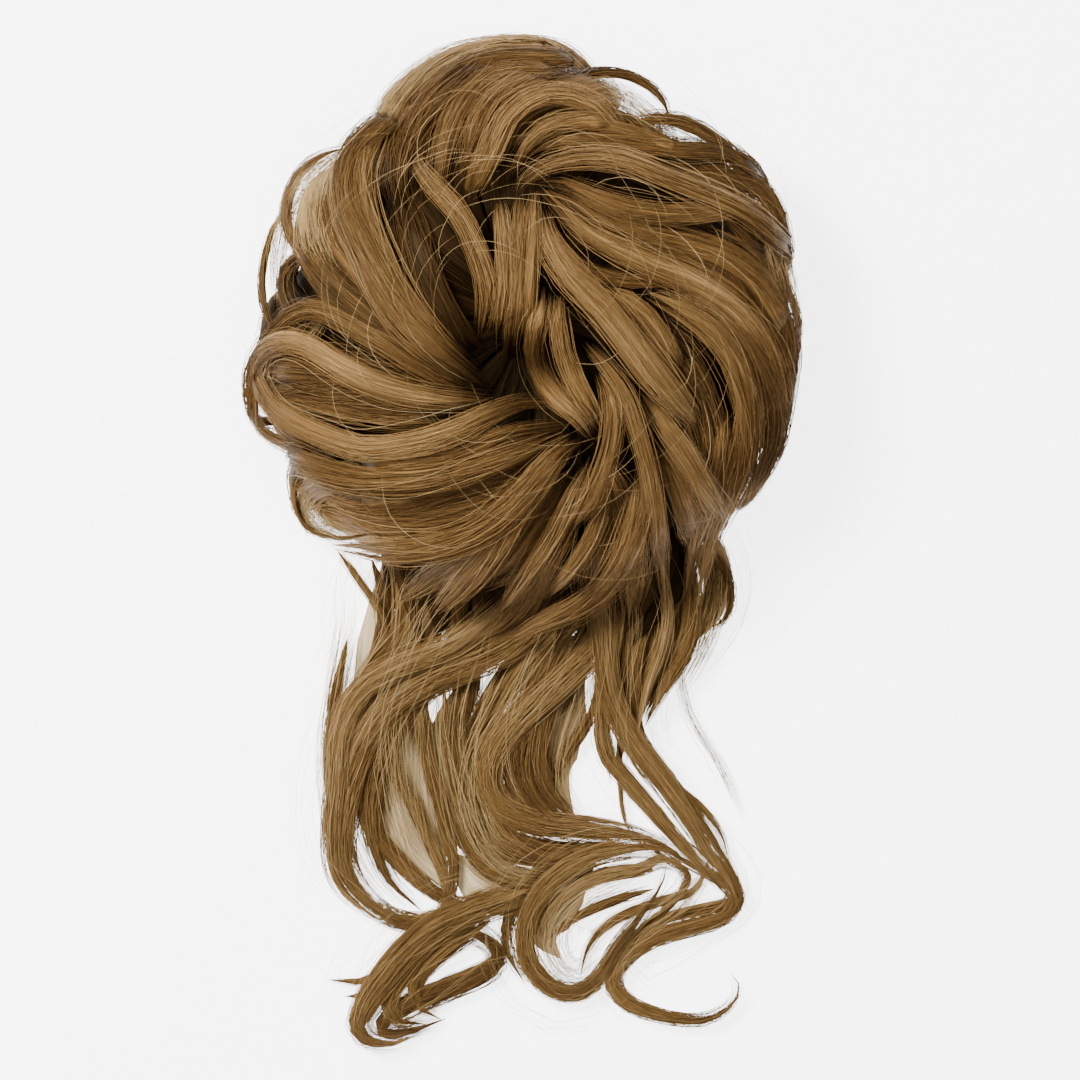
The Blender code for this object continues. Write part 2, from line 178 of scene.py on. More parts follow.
def strandMaterial(name, colours, roughness, specular):
    # Dyed heat-resistant fibre drawn as single strands: tone differs by strand and by clump, and painted
    # shade darkens it with depth
    material, tree, shader = newMaterial(name, {
        "Roughness": roughness, "Specular IOR Level": specular, "Specular Tint": linear(hairShine),
    })
    tone = addNode(tree, "ShaderNodeAttribute", (-900, 200), attribute_name="tone").outputs["Fac"]
    place = addNode(tree, "ShaderNodeTexCoord", (-1100, -100)).outputs["Object"]
    patch = addNode(  # lighter and darker patches about 13 mm wide
        tree, "ShaderNodeTexNoise", (-900, -100), {"Vector": place, "Scale": 75, "Detail": 3},
    ).outputs["Fac"]
    mixed = maths(tree, "MULTIPLY_ADD", patch, 0.35, maths(tree, "SUBTRACT", tone, 0.175))
    tree.links.new(colourRamp(tree, mixed, colours, hairStops), shader.inputs["Base Color"])
    return material


strandFibre = strandMaterial("fineFibre", ("150c04", "32200c", "664b29", "95774d"), 0.45, 0.15)
looseFibre = strandMaterial("looseFibre", ("4a3518", "735a33", "9f8459", "c2aa80"), 0.5, 0.2)
tailFibre = strandMaterial("tailFibre", ("24160a", "402b15", "70552f", "a3875d"), 0.45, 0.15)
# A darker copy of the strand fibre: painted shade for the wrap strands deep in the bun
paintedShadeStrandFibre = strandMaterial("paintedShadeStrandFibre", ("0b0602", "1d1207", "3b2912", "5c4323"), 0.6, 0.1)
# Near-black fibre: painted shade for the mass of hair inside the bun
shadeFibre = strandMaterial("shadeFibre", ("0a0502", "150c05", "20140a", "2c1c0e"), 0.8, 0.05)


def lockMaterial(name, colours, roughness, specular):
    # The same fibre seen as a whole lock: streaks of strands run along it and it shines across them
    material, tree, shader = newMaterial(name, {
        "Roughness": roughness, "Specular IOR Level": specular, "Specular Tint": linear(hairShine),
        "Anisotropic": 0.7, "Anisotropic Rotation": 0.25,
    })
    tone = addNode(tree, "ShaderNodeAttribute", (-1300, 300), attribute_name="tone").outputs["Fac"]
    shade = addNode(tree, "ShaderNodeAttribute", (-1300, 500), attribute_name="shade").outputs["Fac"]
    flat = addNode(tree, "ShaderNodeUVMap", (-1700, 0), uv_map="strandWay").outputs[0]
    parts = addNode(tree, "ShaderNodeSeparateXYZ", (-1500, 0), {0: flat})

    def streaks(width, length, detail, seed):
        # Noise stretched along the lock: width and length of one streak
        way = addNode(
            tree, "ShaderNodeCombineXYZ", (-1300, 0),
            {
                0: maths(tree, "MULTIPLY", parts.outputs[0], 1 / length),
                1: maths(tree, "MULTIPLY", parts.outputs[1], 1 / width),
                2: maths(tree, "MULTIPLY_ADD", tone, 40.0, seed),
            },
        ).outputs[0]
        return addNode(
            tree, "ShaderNodeTexNoise", (-1100, 0),
            {"Vector": way, "Scale": 1.0, "Detail": detail, "Distortion": 0.35},
        ).outputs["Fac"]

    single = streaks(0.3 * mm, 22 * mm, 2.0, 1.0)  # coarser than a real fibre, so that it shows
    clump = streaks(1.6 * mm, 30 * mm, 1.0, 8.0)
    streaked = maths(tree, "MULTIPLY_ADD", single, 0.8, maths(tree, "MULTIPLY", clump, 0.6))
    mixed = maths(tree, "MULTIPLY_ADD", tone, 0.45, maths(tree, "SUBTRACT", streaked, 0.3))
    # Painted shade: the lock darkens where it lies deep between the others
    mixed = maths(tree, "SUBTRACT", mixed, maths(tree, "MULTIPLY", shade, 0.6))
    tree.links.new(colourRamp(tree, mixed, colours, hairStops), shader.inputs["Base Color"])
    tangent = addNode(
        tree, "ShaderNodeTangent", (-500, -500), direction_type="UV_MAP", uv_map="strandWay",
    )
    tree.links.new(tangent.outputs[0], shader.inputs["Tangent"])
    height = maths(tree, "MULTIPLY_ADD", clump, 2.0, single)
    bump = addNode(
        tree, "ShaderNodeBump", (-500, -300), {"Height": height, "Strength": 0.5, "Distance": 0.35 * mm},
    )
    tree.links.new(bump.outputs["Normal"], shader.inputs["Normal"])
    return material


lockFibre = lockMaterial("lockFibre", ("0f0803", "241607", "5a4020", "8c6e45"), 0.5, 0.12)
thinFibre = lockMaterial("thinLockFibre", ("9a8158", "b59e78", "cebb98", "e2d4b8"), 0.6, 0.05)
lobeFibre = lockMaterial("lobeLockFibre", ("5f4929", "80673d", "9f865b", "bba47c"), 0.6, 0.05)
tailLockFibre = lockMaterial("tailLockFibre", ("1c1005", "38240d", "644825", "97794f"), 0.5, 0.1)
# A darker copy of the lock fibre: painted shade for the wraps and the locks under the bun's front edge
paintedShadeFibre = lockMaterial("paintedShadeLockFibre", ("080401", "170e05", "302110", "4d3719"), 0.7, 0.05)


def elasticMaterial():
    # Brown knitted elastic: fine ribs round the ring, with a dull thread
    material, tree, shader = newMaterial("knittedElastic", {"Roughness": 0.85})
    place = addNode(tree, "ShaderNodeTexCoord", (-1100, 0)).outputs["Object"]
    thread = addNode(  # threads about 1 mm apart
        tree, "ShaderNodeTexNoise", (-800, 0), {"Vector": place, "Scale": 900, "Detail": 2},
    ).outputs["Fac"]
    tree.links.new(colourRamp(tree, thread, ("2a1a0c", "5a3d22")), shader.inputs["Base Color"])
    bump = addNode(
        tree, "ShaderNodeBump", (-500, -300), {"Height": thread, "Strength": 0.4, "Distance": 0.3 * mm},
    )
    tree.links.new(bump.outputs["Normal"], shader.inputs["Normal"])
    return material


def glowingFloorMaterial():
    # Matt white table surface with a barely visible mottle. It also glows, a painted light that
    # brightens it and lights the hair from below
    material, tree, shader = newMaterial("glowingWhiteTable", {
        "Roughness": 0.9, "Emission Color": linear("ffffff"), "Emission Strength": 4.0,
    })
    place = addNode(tree, "ShaderNodeTexCoord", (-1100, 0)).outputs["Object"]
    mottle = addNode(
        tree, "ShaderNodeTexNoise", (-800, 0), {"Vector": place, "Scale": 6, "Detail": 4},
    ).outputs["Fac"]
    tree.links.new(colourRamp(tree, mottle, ("f6f5f3", "faf9f8")), shader.inputs["Base Color"])
    return material


def domeHeight(share):
    # Height of the plain dome at a share of its radius
    rise = bunForm["height"] - bunForm["rimHeight"]
    return bunForm["rimHeight"] + rise * math.sqrt(1 - share * share)


def bunSurface(x, y):
    # Height of the hair over the table, x and y from the band's centre
    away = math.hypot(x, y)
    height = domeHeight(min(1.0, away / bunForm["radius"]))
    height -= bunForm["rimFall"] * max(0.0, away - bunForm["radius"])
    fromEye = math.hypot(x - bunForm["eyePlace"].x, y - bunForm["eyePlace"].y)
    height -= bunForm["eyeDip"] * math.exp(-((fromEye / bunForm["eyeSpread"]) ** 2))
    return max(height, tailSurface(-y) if y < -0.5 * bunForm["radius"] else 4 * mm)


def clamped(value):
    # A share kept between 0 and 1
    return min(1.0, max(0.0, value))


def paintedShadeAt(place):
    # Painted shade at a place, by how deep it lies among the hair: 0 on top, 1 deep between the locks
    share = min(1.0, math.hypot(place.x, place.y) / bunForm["radius"])
    inside = clamped((0.97 - share) / 0.2)  # fades out towards the rim
    inBun = clamped((domeHeight(share) - 1 * mm - place.z) / shadeForm["depth"])
    onTable = shadeForm["table"] * clamped(1 - place.z / (0.85 * tailSurface(-place.y)))
    outer = shadeForm["side"] if place.y > -0.6 * bunForm["radius"] else onTable
    return inside * inBun + (1 - inside) * outer


def tailSurface(away):
    # Thickness of the tails at a distance from the band's centre towards the tips
    share = clamped((away - bunForm["radius"]) / (0.45 * tailForm["reach"]))
    return tailForm["rootThick"] + (tailForm["endThick"] - tailForm["rootThick"]) * share


def bunOutward(place):
    # Direction out of the bun's rounded form, leaning up a little over the rim
    lean = clamped(place.z / bunForm["rimHeight"]) * bunForm["rimLean"] / bunForm["radius"]
    return Vector((
        place.x / bunForm["radius"] ** 2,
        place.y / bunForm["radius"] ** 2,
        (place.z - bunForm["middleHeight"]) / bunForm["halfHeight"] ** 2 + lean,
    )).normalized()


def smoothRoute(corners, count):
    # Evenly counted points of a smooth curve through the corners
    ends = [2 * corners[0] - corners[1], *corners, 2 * corners[-1] - corners[-2]]
    lengths = [(b - a).length for a, b in zip(corners, corners[1:])]
    total = sum(lengths)
    route = []
    for i in range(count):
        left = total * i / (count - 1)
        piece = 0
        while piece < len(lengths) - 1 and left > lengths[piece]:
            left -= lengths[piece]
            piece += 1
        t = min(1.0, left / lengths[piece])
        p0, p1, p2, p3 = ends[piece:piece + 4]
        route.append(0.5 * (
            2 * p1 + (p2 - p0) * t + (2 * p0 - 5 * p1 + 4 * p2 - p3) * t ** 2
            + (3 * p1 - p0 - 3 * p2 + p3) * t ** 3
        ))
    return route


def fromPhoto(pixel):
    # A station of the photo as a place from the band's centre, on the table
    return Vector((
        (pixel[0] - photoView["bandPixel"][0]) * photoView["step"],
        (photoView["bandPixel"][1] - pixel[1]) * photoView["step"],
        0,
    ))


def pastRim(end, before):
    # Corners that take a lock's end over the bun's rim, down its side and in underneath
    away = math.hypot(end.x, end.y)
    onTails = end.y < -0.55 * bunForm["radius"] and abs(end.x) < 0.8 * bunForm["radius"]
    if away < lockLay["rimShare"] * bunForm["radius"] or onTails:
        return []
    drift = Vector((end.x - before.x, end.y - before.y, 0)).normalized()
    corners = []
    for share, forward, lower in ((1.00, 3, 0.74), (0.97, 5, 0.44), (0.88, 6, 0.2), (0.70, 6, 0.09)):
        corner = Vector((end.x, end.y, 0)) * share + drift * forward * mm
        corner.z = max(2.2 * mm, end.z * lower)
        corners.append(corner)
    return corners


def bunGuide(halfPixels, layer, stations, tuckTip=True, wrap=True, flat=0.54):
    # A lock of the bun: over the dome by its stations, then under the rim or tucked in at each end
    corners = [fromPhoto(s) for s in stations]
    lift = (layer - lockLay["surfaceLayer"]) * lockLay["layerStep"]
    for corner in corners:
        corner.z = bunSurface(corner.x, corner.y) + lift
    before = pastRim(corners[0], corners[1]) if wrap else []
    after = pastRim(corners[-1], corners[-2]) if wrap else []
    corners = before[::-1] + corners + after
    guide = []
    half = halfPixels * photoView["step"]
    for i, place in enumerate(smoothRoute(corners, lockLay["points"])):
        share = i / (lockLay["points"] - 1)
        root = min(1.0, share / lockLay["tuckShare"])
        tip = min(1.0, (1 - share) / lockLay["tuckShare"])
        full = (0.4 + 0.6 * root ** 0.7) * (0.4 + 0.6 * tip ** 0.7)
        if not before:
            place.z -= lockLay["tuckDepth"] * (1 - root) ** 2
        if not after and tuckTip:
            place.z -= lockLay["tuckDepth"] * (1 - tip) ** 2
        wide = lockLay["widening"] * half * full
        guide.append((place, bunOutward(place), wide, flat * half * full))
    return guide


def tailGuide(halfPixels, layer, stations, tipShare=0.35):
    # A lock of the tails, lying on the table at the height of its layer
    guide = []
    for i, place in enumerate(smoothRoute([fromPhoto(s) for s in stations], lockLay["points"])):
        share = i / (lockLay["points"] - 1)
        full = tipShare + (1 - tipShare) * min(1.0, 2.2 * (1 - share)) ** 0.7
        half = halfPixels * photoView["step"] * full
        thick = tailSurface(-place.y)
        deep = min(0.5 * half + 0.3 * mm, 0.5 * thick)
        laid = thick * (tailForm["layerLow"] + tailForm["layerStep"] * layer)
        place.z = max(deep, laid - deep * 0.3)
        guide.append((place, Vector((0, 0, 1)), half, deep))
    return guide


# Locks of the bun: half width in photo pixels, layer (higher lies on top), stations
bunLocks = {
    "crownEdge": (9, 1, (
        (590, 78), (565, 50), (530, 37), (490, 40), (450, 52), (415, 75), (392, 98), (382, 125),
        (380, 150)
    )),
    "crownOne": (10, 2, (
        (540, 50), (490, 48), (445, 62), (415, 85), (402, 118), (398, 155), (405, 190), (415, 215)
    )),
    "crownTwo": (10, 2, (
        (560, 60), (510, 58), (465, 68), (435, 92), (418, 125), (415, 160), (425, 195)
    )),
    "crownThree": (12, 2, (
        (545, 75), (500, 75), (470, 95), (452, 125), (442, 160), (438, 195), (445, 215)
    )),
    "crownMiddle": (16, 2, ((530, 85), (500, 100), (480, 130), (470, 160), (468, 185))),
    "crownFill": (12, 1, ((580, 85), (545, 90), (520, 110), (500, 140), (490, 170))),
    "crownBaseLeft": (22, 1, ((470, 75), (430, 110), (405, 150), (400, 190), (415, 230))),
    "crownBaseRight": (22, 1, ((590, 95), (540, 110), (500, 140), (475, 180), (460, 220))),
    "shoulderBase": (22, 1, ((560, 150), (610, 150), (660, 165), (710, 190), (750, 230))),
    "rightBase": (24, 1, ((600, 225), (660, 245), (710, 275), (745, 320), (765, 370))),
    "crescentBase": (22, 1, ((640, 320), (675, 360), (700, 410), (708, 460), (705, 505))),
    "hollowBase": (18, 0, ((400, 190), (415, 240), (430, 290), (455, 340), (490, 370))),
    "leftBase": (26, 1, ((480, 400), (430, 397), (380, 388), (330, 378), (292, 372))),
    "leftBaseLow": (26, 1, ((560, 440), (500, 468), (440, 486), (380, 496), (330, 500))),
    "lowBase": (22, 1, ((575, 465), (545, 505), (515, 545), (480, 585))),
    "lowBaseRight": (22, 1, ((600, 470), (610, 510), (605, 555), (590, 600))),
    "leftLong": (13, 4, (
        (385, 128), (358, 150), (347, 185), (352, 220), (372, 262), (400, 315), (440, 355), (480, 385),
        (510, 402)
    )),
    "leftLongInner": (15, 3, (
        (372, 140), (360, 180), (366, 225), (384, 270), (412, 320), (446, 358), (490, 388)
    )),
    "lowFillOne": (14, 2, ((560, 450), (500, 500), (440, 520), (380, 520), (330, 500))),
    "lowFillTwo": (13, 1, ((470, 475), (420, 500), (360, 500), (310, 480))),
    "curvedBright": (8, 4, (
        (414, 158), (424, 176), (436, 192), (452, 208), (468, 232), (480, 262), (488, 290), (486, 318),
        (480, 340)
    )),
    "smallRoll": (10, 5, (
        (625, 150), (605, 120), (580, 105), (552, 100), (525, 110), (505, 130), (495, 155), (485, 180),
        (476, 200)
    )),
    "smallRollInner": (9, 4, ((600, 125), (560, 127), (535, 140), (518, 160), (508, 185))),
    "bigRoll": (10, 5, (
        (776, 240), (745, 216), (708, 200), (675, 188), (645, 176), (620, 166), (590, 163), (560, 166),
        (535, 175), (518, 188), (512, 200)
    )),
    "shoulderOne": (9, 4, (
        (515, 172), (540, 155), (570, 147), (610, 148), (645, 152), (680, 155), (710, 154), (735, 160),
        (750, 172)
    )),
    "shoulderTwo": (8, 4, ((560, 128), (600, 130), (640, 142), (672, 152))),
    "shoulderTop": (9, 2, ((600, 133), (635, 126), (665, 122), (695, 130), (720, 145), (730, 155))),
    "shoulderBack": (12, 1, ((560, 110), (600, 118), (640, 135), (680, 160), (720, 180))),
    "rightHigh": (9, 4, (
        (535, 188), (560, 186), (590, 200), (625, 213), (665, 219), (705, 217), (740, 210), (765, 222),
        (776, 245)
    )),
    "rightBand": (12, 2, (
        (640, 192), (680, 183), (720, 179), (752, 186), (770, 202), (779, 230), (782, 255)
    )),
    "rightFan": (11, 3, (
        (540, 192), (570, 205), (600, 225), (640, 240), (690, 250), (730, 265), (760, 290), (778, 320)
    )),
    "rightBright": (12, 4, (
        (540, 190), (560, 210), (585, 235), (615, 252), (650, 268), (690, 285), (730, 310), (755, 340),
        (770, 370), (776, 400)
    )),
    "rightOuter": (12, 2, ((660, 222), (700, 240), (740, 262), (768, 295), (782, 330), (786, 365))),
    "rightThin": (6, 3, (
        (543, 200), (550, 232), (568, 262), (598, 280), (635, 286), (668, 283), (700, 295), (735, 320)
    )),
    "broadCentre": (14, 5, (
        (542, 215), (550, 248), (572, 280), (605, 315), (632, 350), (655, 380), (680, 408), (700, 430)
    )),
    "broadSide": (9, 4, ((600, 292), (635, 310), (658, 335), (672, 358), (680, 375))),
    "crescentInner": (12, 5, (
        (640, 292), (680, 312), (712, 335), (735, 370), (746, 410), (748, 445), (742, 478), (730, 505),
        (722, 520)
    )),
    "crescentOuter": (12, 4, (
        (690, 300), (725, 325), (752, 355), (770, 390), (775, 425), (766, 458), (750, 488), (735, 513)
    )),
    "rimRight": (9, 2, (
        (755, 285), (775, 310), (788, 335), (790, 365), (785, 400), (780, 435), (768, 465), (752, 492)
    )),
    "rimBump": (5, 1, ((770, 250), (785, 285), (797, 315), (797, 340), (790, 372))),
    "uprightOne": (8, 4, ((500, 205), (505, 250), (505, 300), (498, 340))),
    "uprightTwo": (7, 4, ((520, 200), (520, 250), (517, 300), (512, 340), (508, 362))),
    "uprightThree": (7, 4, ((535, 195), (534, 240), (530, 290), (528, 330), (532, 355))),
    "centreWave": (9, 5, (
        (545, 290), (540, 320), (533, 345), (538, 372), (555, 398), (578, 420), (592, 440)
    )),
    "centreWaveRight": (8, 5, ((560, 300), (558, 330), (563, 360), (575, 388), (592, 415), (600, 432))),
    "centreBend": (8, 5, (
        (598, 375), (608, 395), (612, 420), (608, 450), (600, 475), (590, 500), (570, 530)
    )),
    "fallRight": (11, 4, ((640, 395), (662, 425), (684, 455), (702, 485), (718, 512), (722, 528))),
    "fallRightBack": (12, 3, ((655, 440), (672, 475), (685, 510), (695, 545))),
    "leftSweepTop": (11, 4, (
        (505, 402), (470, 403), (430, 400), (390, 390), (350, 372), (315, 350), (288, 342), (264, 352),
        (251, 378), (252, 404)
    )),
    "leftSweepBack": (9, 3, (
        (490, 395), (455, 388), (420, 370), (385, 347), (350, 327), (320, 312), (297, 315), (277, 332),
        (266, 355)
    )),
    "leftSweepLow": (10, 5, (
        (565, 408), (530, 403), (500, 412), (460, 432), (420, 445), (370, 450), (335, 440), (300, 424),
        (272, 404), (260, 380)
    )),
    "leftSweepUnder": (8, 4, ((570, 425), (535, 430), (500, 437), (460, 455), (420, 462), (380, 465))),
    "leftBroad": (11, 5, (
        (560, 433), (520, 452), (470, 470), (420, 480), (370, 480), (330, 472), (305, 462)
    )),
    "leftLow": (13, 5, (
        (568, 440), (548, 465), (520, 498), (490, 525), (450, 543), (400, 550), (355, 546), (330, 545)
    )),
    "leftLobeBody": (12, 2, ((480, 415), (430, 418), (380, 415), (330, 405), (290, 395), (262, 392))),
    "leftLobeLoop": (7, 2, (
        (300, 335), (270, 345), (253, 370), (249, 400), (256, 425), (280, 442), (310, 450)
    )),
    "leftLobeInner": (8, 1, ((320, 350), (285, 355), (268, 378), (268, 405), (285, 425), (320, 440))),
    "leftLobeFill": (12, 1, (
        (420, 395), (370, 370), (320, 365), (285, 385), (275, 410), (300, 430), (340, 440)
    )),
    "lowLobeBody": (12, 1, ((500, 470), (470, 500), (430, 520), (380, 525), (330, 510), (305, 490))),
    "lowLobeFill": (15, 0, ((430, 492), (370, 492), (328, 486), (304, 500), (306, 524), (335, 536))),
    "lowLobeLoop": (7, 1, (
        (330, 455), (303, 458), (292, 480), (294, 508), (308, 530), (340, 538), (380, 532)
    )),
    "sideFillOne": (16, 1, ((470, 370), (420, 330), (375, 285), (340, 240), (330, 200))),
    "sideFillTwo": (16, 1, ((480, 385), (430, 365), (380, 330), (335, 290), (310, 255))),
    "sideLoop": (6, 1, ((310, 255), (288, 265), (282, 285), (290, 312), (312, 335))),
}

# Loose thin loops at the rim: same columns
looseLoops = {
    "loopLeftHigh": (6.5, 1, (
        (352, 146), (322, 156), (300, 172), (289, 195), (287, 220), (296, 245), (316, 266), (345, 280)
    )),
    "loopLeftLow": (4.5, 0, ((288, 203), (271, 232), (263, 265), (262, 290), (268, 318), (282, 338))),
    "loopTop": (6, 1, ((545, 98), (568, 84), (595, 75), (625, 76), (650, 88), (664, 105), (671, 124))),
    "loopRight": (5, 1, ((725, 152), (745, 158), (760, 171), (767, 190), (768, 208))),
    "linkRight": (6, 1, ((700, 146), (718, 158), (722, 182))),
    "loopFallOuter": (6, 1, ((700, 530), (718, 545), (729, 575), (732, 602), (724, 622), (706, 630))),
}

# Locks that leave the bun over its front edge and lie on the tails
fallLocks = {
    "longCentre": (8, 5, (
        (585, 345), (608, 372), (625, 398), (636, 430), (645, 462), (652, 495), (657, 530), (662, 565),
        (666, 600)
    )),
    "fallLeft": (12, 4, (
        (578, 440), (558, 455), (538, 480), (518, 512), (498, 545), (468, 580), (435, 612)
    )),
    "fallLeftInner": (9, 3, ((590, 460), (575, 490), (555, 530), (530, 570), (500, 610))),
    "notchFill": (13, 3, ((752, 400), (742, 450), (728, 495), (712, 535), (703, 575), (698, 610))),
    "notchInner": (12, 2, ((722, 430), (715, 480), (702, 520), (692, 560), (686, 600))),
    "fallMiddle": (8, 3, ((605, 470), (603, 505), (590, 540), (565, 575), (540, 600))),
    "fallBright": (14, 5, (
        (640, 470), (640, 510), (628, 550), (605, 585), (575, 608), (545, 622), (510, 640)
    )),
    "fallUnderOne": (14, 2, ((600, 460), (620, 500), (630, 540), (632, 580), (630, 620))),
    "fallUnderTwo": (14, 2, ((540, 490), (510, 530), (470, 560), (430, 580), (400, 600))),
    "fallUnderThree": (14, 2, ((570, 480), (560, 530), (540, 570), (520, 610), (480, 640))),
}

# Tails: half width in photo pixels, layer, stations
leftTail = {
    "fillOne": (16, 1, (
        (480, 540), (450, 600), (410, 650), (375, 700), (352, 760), (345, 830), (360, 880)
    )),
    "fillTwo": (16, 2, (
        (540, 560), (500, 620), (450, 665), (405, 705), (378, 760), (368, 820), (385, 880), (420, 915)
    )),
    "fillFour": (12, 1, ((370, 560), (385, 610), (378, 660), (352, 710), (340, 770))),
    "sideEdge": (8, 1, ((345, 640), (333, 700), (328, 770), (335, 830))),
    "base": (10, 2, ((360, 900), (395, 925), (440, 925), (480, 905), (520, 890))),
    "massOne": (16, 2, ((440, 540), (425, 600), (400, 640), (370, 670), (350, 700))),
    "massTwo": (12, 2, ((400, 540), (405, 600), (400, 640), (385, 680))),
    "wisp": (4, 2, ((335, 550), (360, 585), (380, 615), (388, 650))),
    "big": (19, 3, (
        (560, 560), (530, 625), (490, 655), (440, 675), (395, 700), (362, 740), (347, 785), (340, 830),
        (342, 870), (360, 900), (395, 925), (430, 930)
    )),
    "bigTop": (13, 4, (
        (520, 590), (460, 640), (400, 665), (360, 690), (340, 730), (336, 780), (330, 840), (333, 880),
        (350, 905), (380, 925)
    )),
    "gapFill": (18, 1, ((450, 560), (456, 610), (462, 650), (464, 700), (455, 760))),
    "straightOne": (9, 2, ((345, 760), (368, 828), (395, 862), (425, 890), (460, 908), (500, 905))),
    "straightTwo": (7, 2, (
        (370, 715), (395, 775), (415, 815), (430, 850), (445, 885), (440, 915), (420, 940)
    )),
    "straightThree": (8, 2, (
        (412, 665), (424, 748), (436, 792), (446, 835), (452, 870), (448, 905), (425, 935)
    )),
    "straightFour": (9, 2, (
        (442, 685), (448, 740), (458, 785), (462, 820), (475, 860), (505, 882), (550, 885), (590, 878)
    )),
    "straightFive": (6, 2, ((465, 780), (475, 825), (490, 850), (520, 865), (560, 868))),
    "endCurl": (17, 4, (
        (530, 893), (480, 910), (438, 928), (405, 955), (380, 985), (362, 1012), (355, 1032),
        (366, 1046), (390, 1049), (412, 1042)
    )),
    "endFan": (12, 3, (
        (510, 905), (460, 925), (425, 950), (402, 980), (388, 1008), (395, 1025), (425, 1030)
    )),
    "endFanLow": (9, 3, ((490, 925), (450, 950), (425, 972), (412, 995), (418, 1012), (440, 1025))),
    "endFold": (12, 2, (
        (450, 930), (482, 942), (498, 958), (488, 975), (450, 992), (410, 1008), (380, 1028),
        (385, 1040), (415, 1035), (445, 1024)
    )),
    "endTipOne": (4, 2, ((400, 960), (365, 985), (325, 985))),
    "endTipTwo": (4, 1, ((395, 985), (360, 1000), (342, 1002))),
}
centreTail = {
    "fillOne": (16, 1, (
        (580, 540), (560, 600), (530, 650), (495, 700), (475, 750), (480, 810), (510, 850)
    )),
    "fillTwo": (14, 2, ((620, 560), (600, 620), (570, 660), (535, 690), (505, 720))),
    "fillThree": (10, 1, ((500, 830), (540, 850), (590, 855), (640, 855))),
    "fillFour": (10, 1, ((600, 560), (590, 640), (575, 690), (560, 720))),
    "ringOuter": (8, 2, ((640, 850), (590, 850), (545, 870), (515, 905), (505, 950), (525, 990))),
    "mass": (20, 2, (
        (575, 620), (545, 680), (525, 725), (518, 765), (530, 800), (565, 830), (610, 842)
    )),
    "massInner": (12, 2, ((560, 680), (545, 720), (540, 760), (548, 795), (575, 820))),
    "underCurl": (12, 1, ((470, 740), (478, 800), (505, 840), (550, 862), (600, 872))),
    "root": (16, 2, ((590, 540), (585, 580), (565, 620), (530, 660), (500, 700))),
    "curl": (16, 3, (
        (610, 590), (600, 640), (575, 668), (540, 700), (505, 735), (487, 770), (495, 805), (530, 825),
        (580, 832), (630, 838), (668, 850), (690, 868)
    )),
    "curlEdge": (5, 2, ((560, 650), (515, 690), (485, 725), (467, 760), (468, 790), (485, 815))),
    "curlBack": (7, 1, ((596, 690), (590, 720), (575, 745), (555, 775), (550, 800), (565, 825))),
    "ring": (11, 4, (
        (685, 862), (655, 850), (610, 855), (570, 870), (540, 898), (525, 935), (530, 970), (552, 993),
        (578, 998), (600, 982), (615, 955), (640, 922), (662, 890), (668, 868)
    )),
    "ringInner": (8, 3, (
        (690, 872), (662, 862), (640, 873), (600, 880), (565, 900), (540, 930), (545, 950)
    )),
    "ringFill": (6, 2, ((655, 893), (620, 903), (580, 920), (545, 945))),
}
rightTail = {
    "fillOne": (14, 1, ((650, 540), (655, 600), (650, 660), (630, 720), (620, 770))),
    "fillTwo": (12, 1, ((610, 560), (615, 640), (618, 700), (640, 750), (680, 800), (710, 850))),
    "fillThree": (10, 1, ((680, 560), (685, 620), (670, 670), (650, 710))),
    "curlBack": (6, 1, ((712, 862), (695, 895), (655, 908), (615, 925), (590, 950), (580, 985))),
    "crossing": (4, 2, ((640, 842), (665, 860), (690, 880), (672, 910), (640, 935), (612, 965))),
    "rootOne": (14, 2, ((660, 540), (672, 610), (668, 650), (652, 690), (640, 725))),
    "rootTwo": (9, 3, ((690, 540), (695, 610), (685, 655), (662, 695), (645, 730))),
    "rootThree": (14, 2, ((630, 540), (635, 620), (632, 680), (635, 720))),
    "long": (12, 4, (
        (600, 560), (604, 650), (612, 700), (635, 745), (665, 785), (695, 830), (715, 862), (733, 890),
        (740, 915)
    )),
    "longSide": (7, 3, (
        (606, 600), (608, 670), (625, 720), (655, 762), (690, 808), (718, 848), (738, 880), (741, 905)
    )),
    "longInner": (9, 3, (
        (597, 640), (603, 745), (625, 780), (655, 815), (685, 850), (712, 880), (734, 906)
    )),
    "foldOne": (9, 3, (
        (690, 845), (722, 872), (739, 896), (728, 920), (695, 930), (655, 942), (625, 962), (612, 985),
        (628, 1008), (665, 1022), (705, 1026), (732, 1012), (742, 993), (732, 977)
    )),
    "foldTwo": (6, 2, (
        (660, 850), (700, 872), (736, 893), (730, 908), (700, 915), (662, 925), (630, 945), (608, 972)
    )),
    "foldThree": (5, 3, (
        (715, 858), (738, 888), (742, 910), (715, 926), (680, 936), (640, 955), (618, 985), (632, 1005),
        (660, 1018)
    )),
    "fallThinOne": (4, 4, ((585, 560), (596, 620), (604, 680), (622, 740), (650, 790))),
    "fallThinTwo": (4, 3, ((625, 560), (622, 620), (612, 680), (606, 740), (612, 790))),
    "fallThinThree": (5, 4, ((660, 560), (668, 610), (662, 650), (648, 690), (636, 740))),
    "side": (6, 2, (
        (642, 620), (635, 700), (645, 750), (670, 785), (700, 808), (722, 835), (732, 868)
    )),
    "sideThin": (3, 2, ((700, 845), (725, 868), (740, 888), (739, 905))),
    "upright": (3, 1, ((620, 720), (622, 800), (628, 830), (640, 842))),
    "lobeFill": (10, 2, ((680, 520), (700, 550), (715, 580), (712, 610), (690, 640), (670, 660))),
}


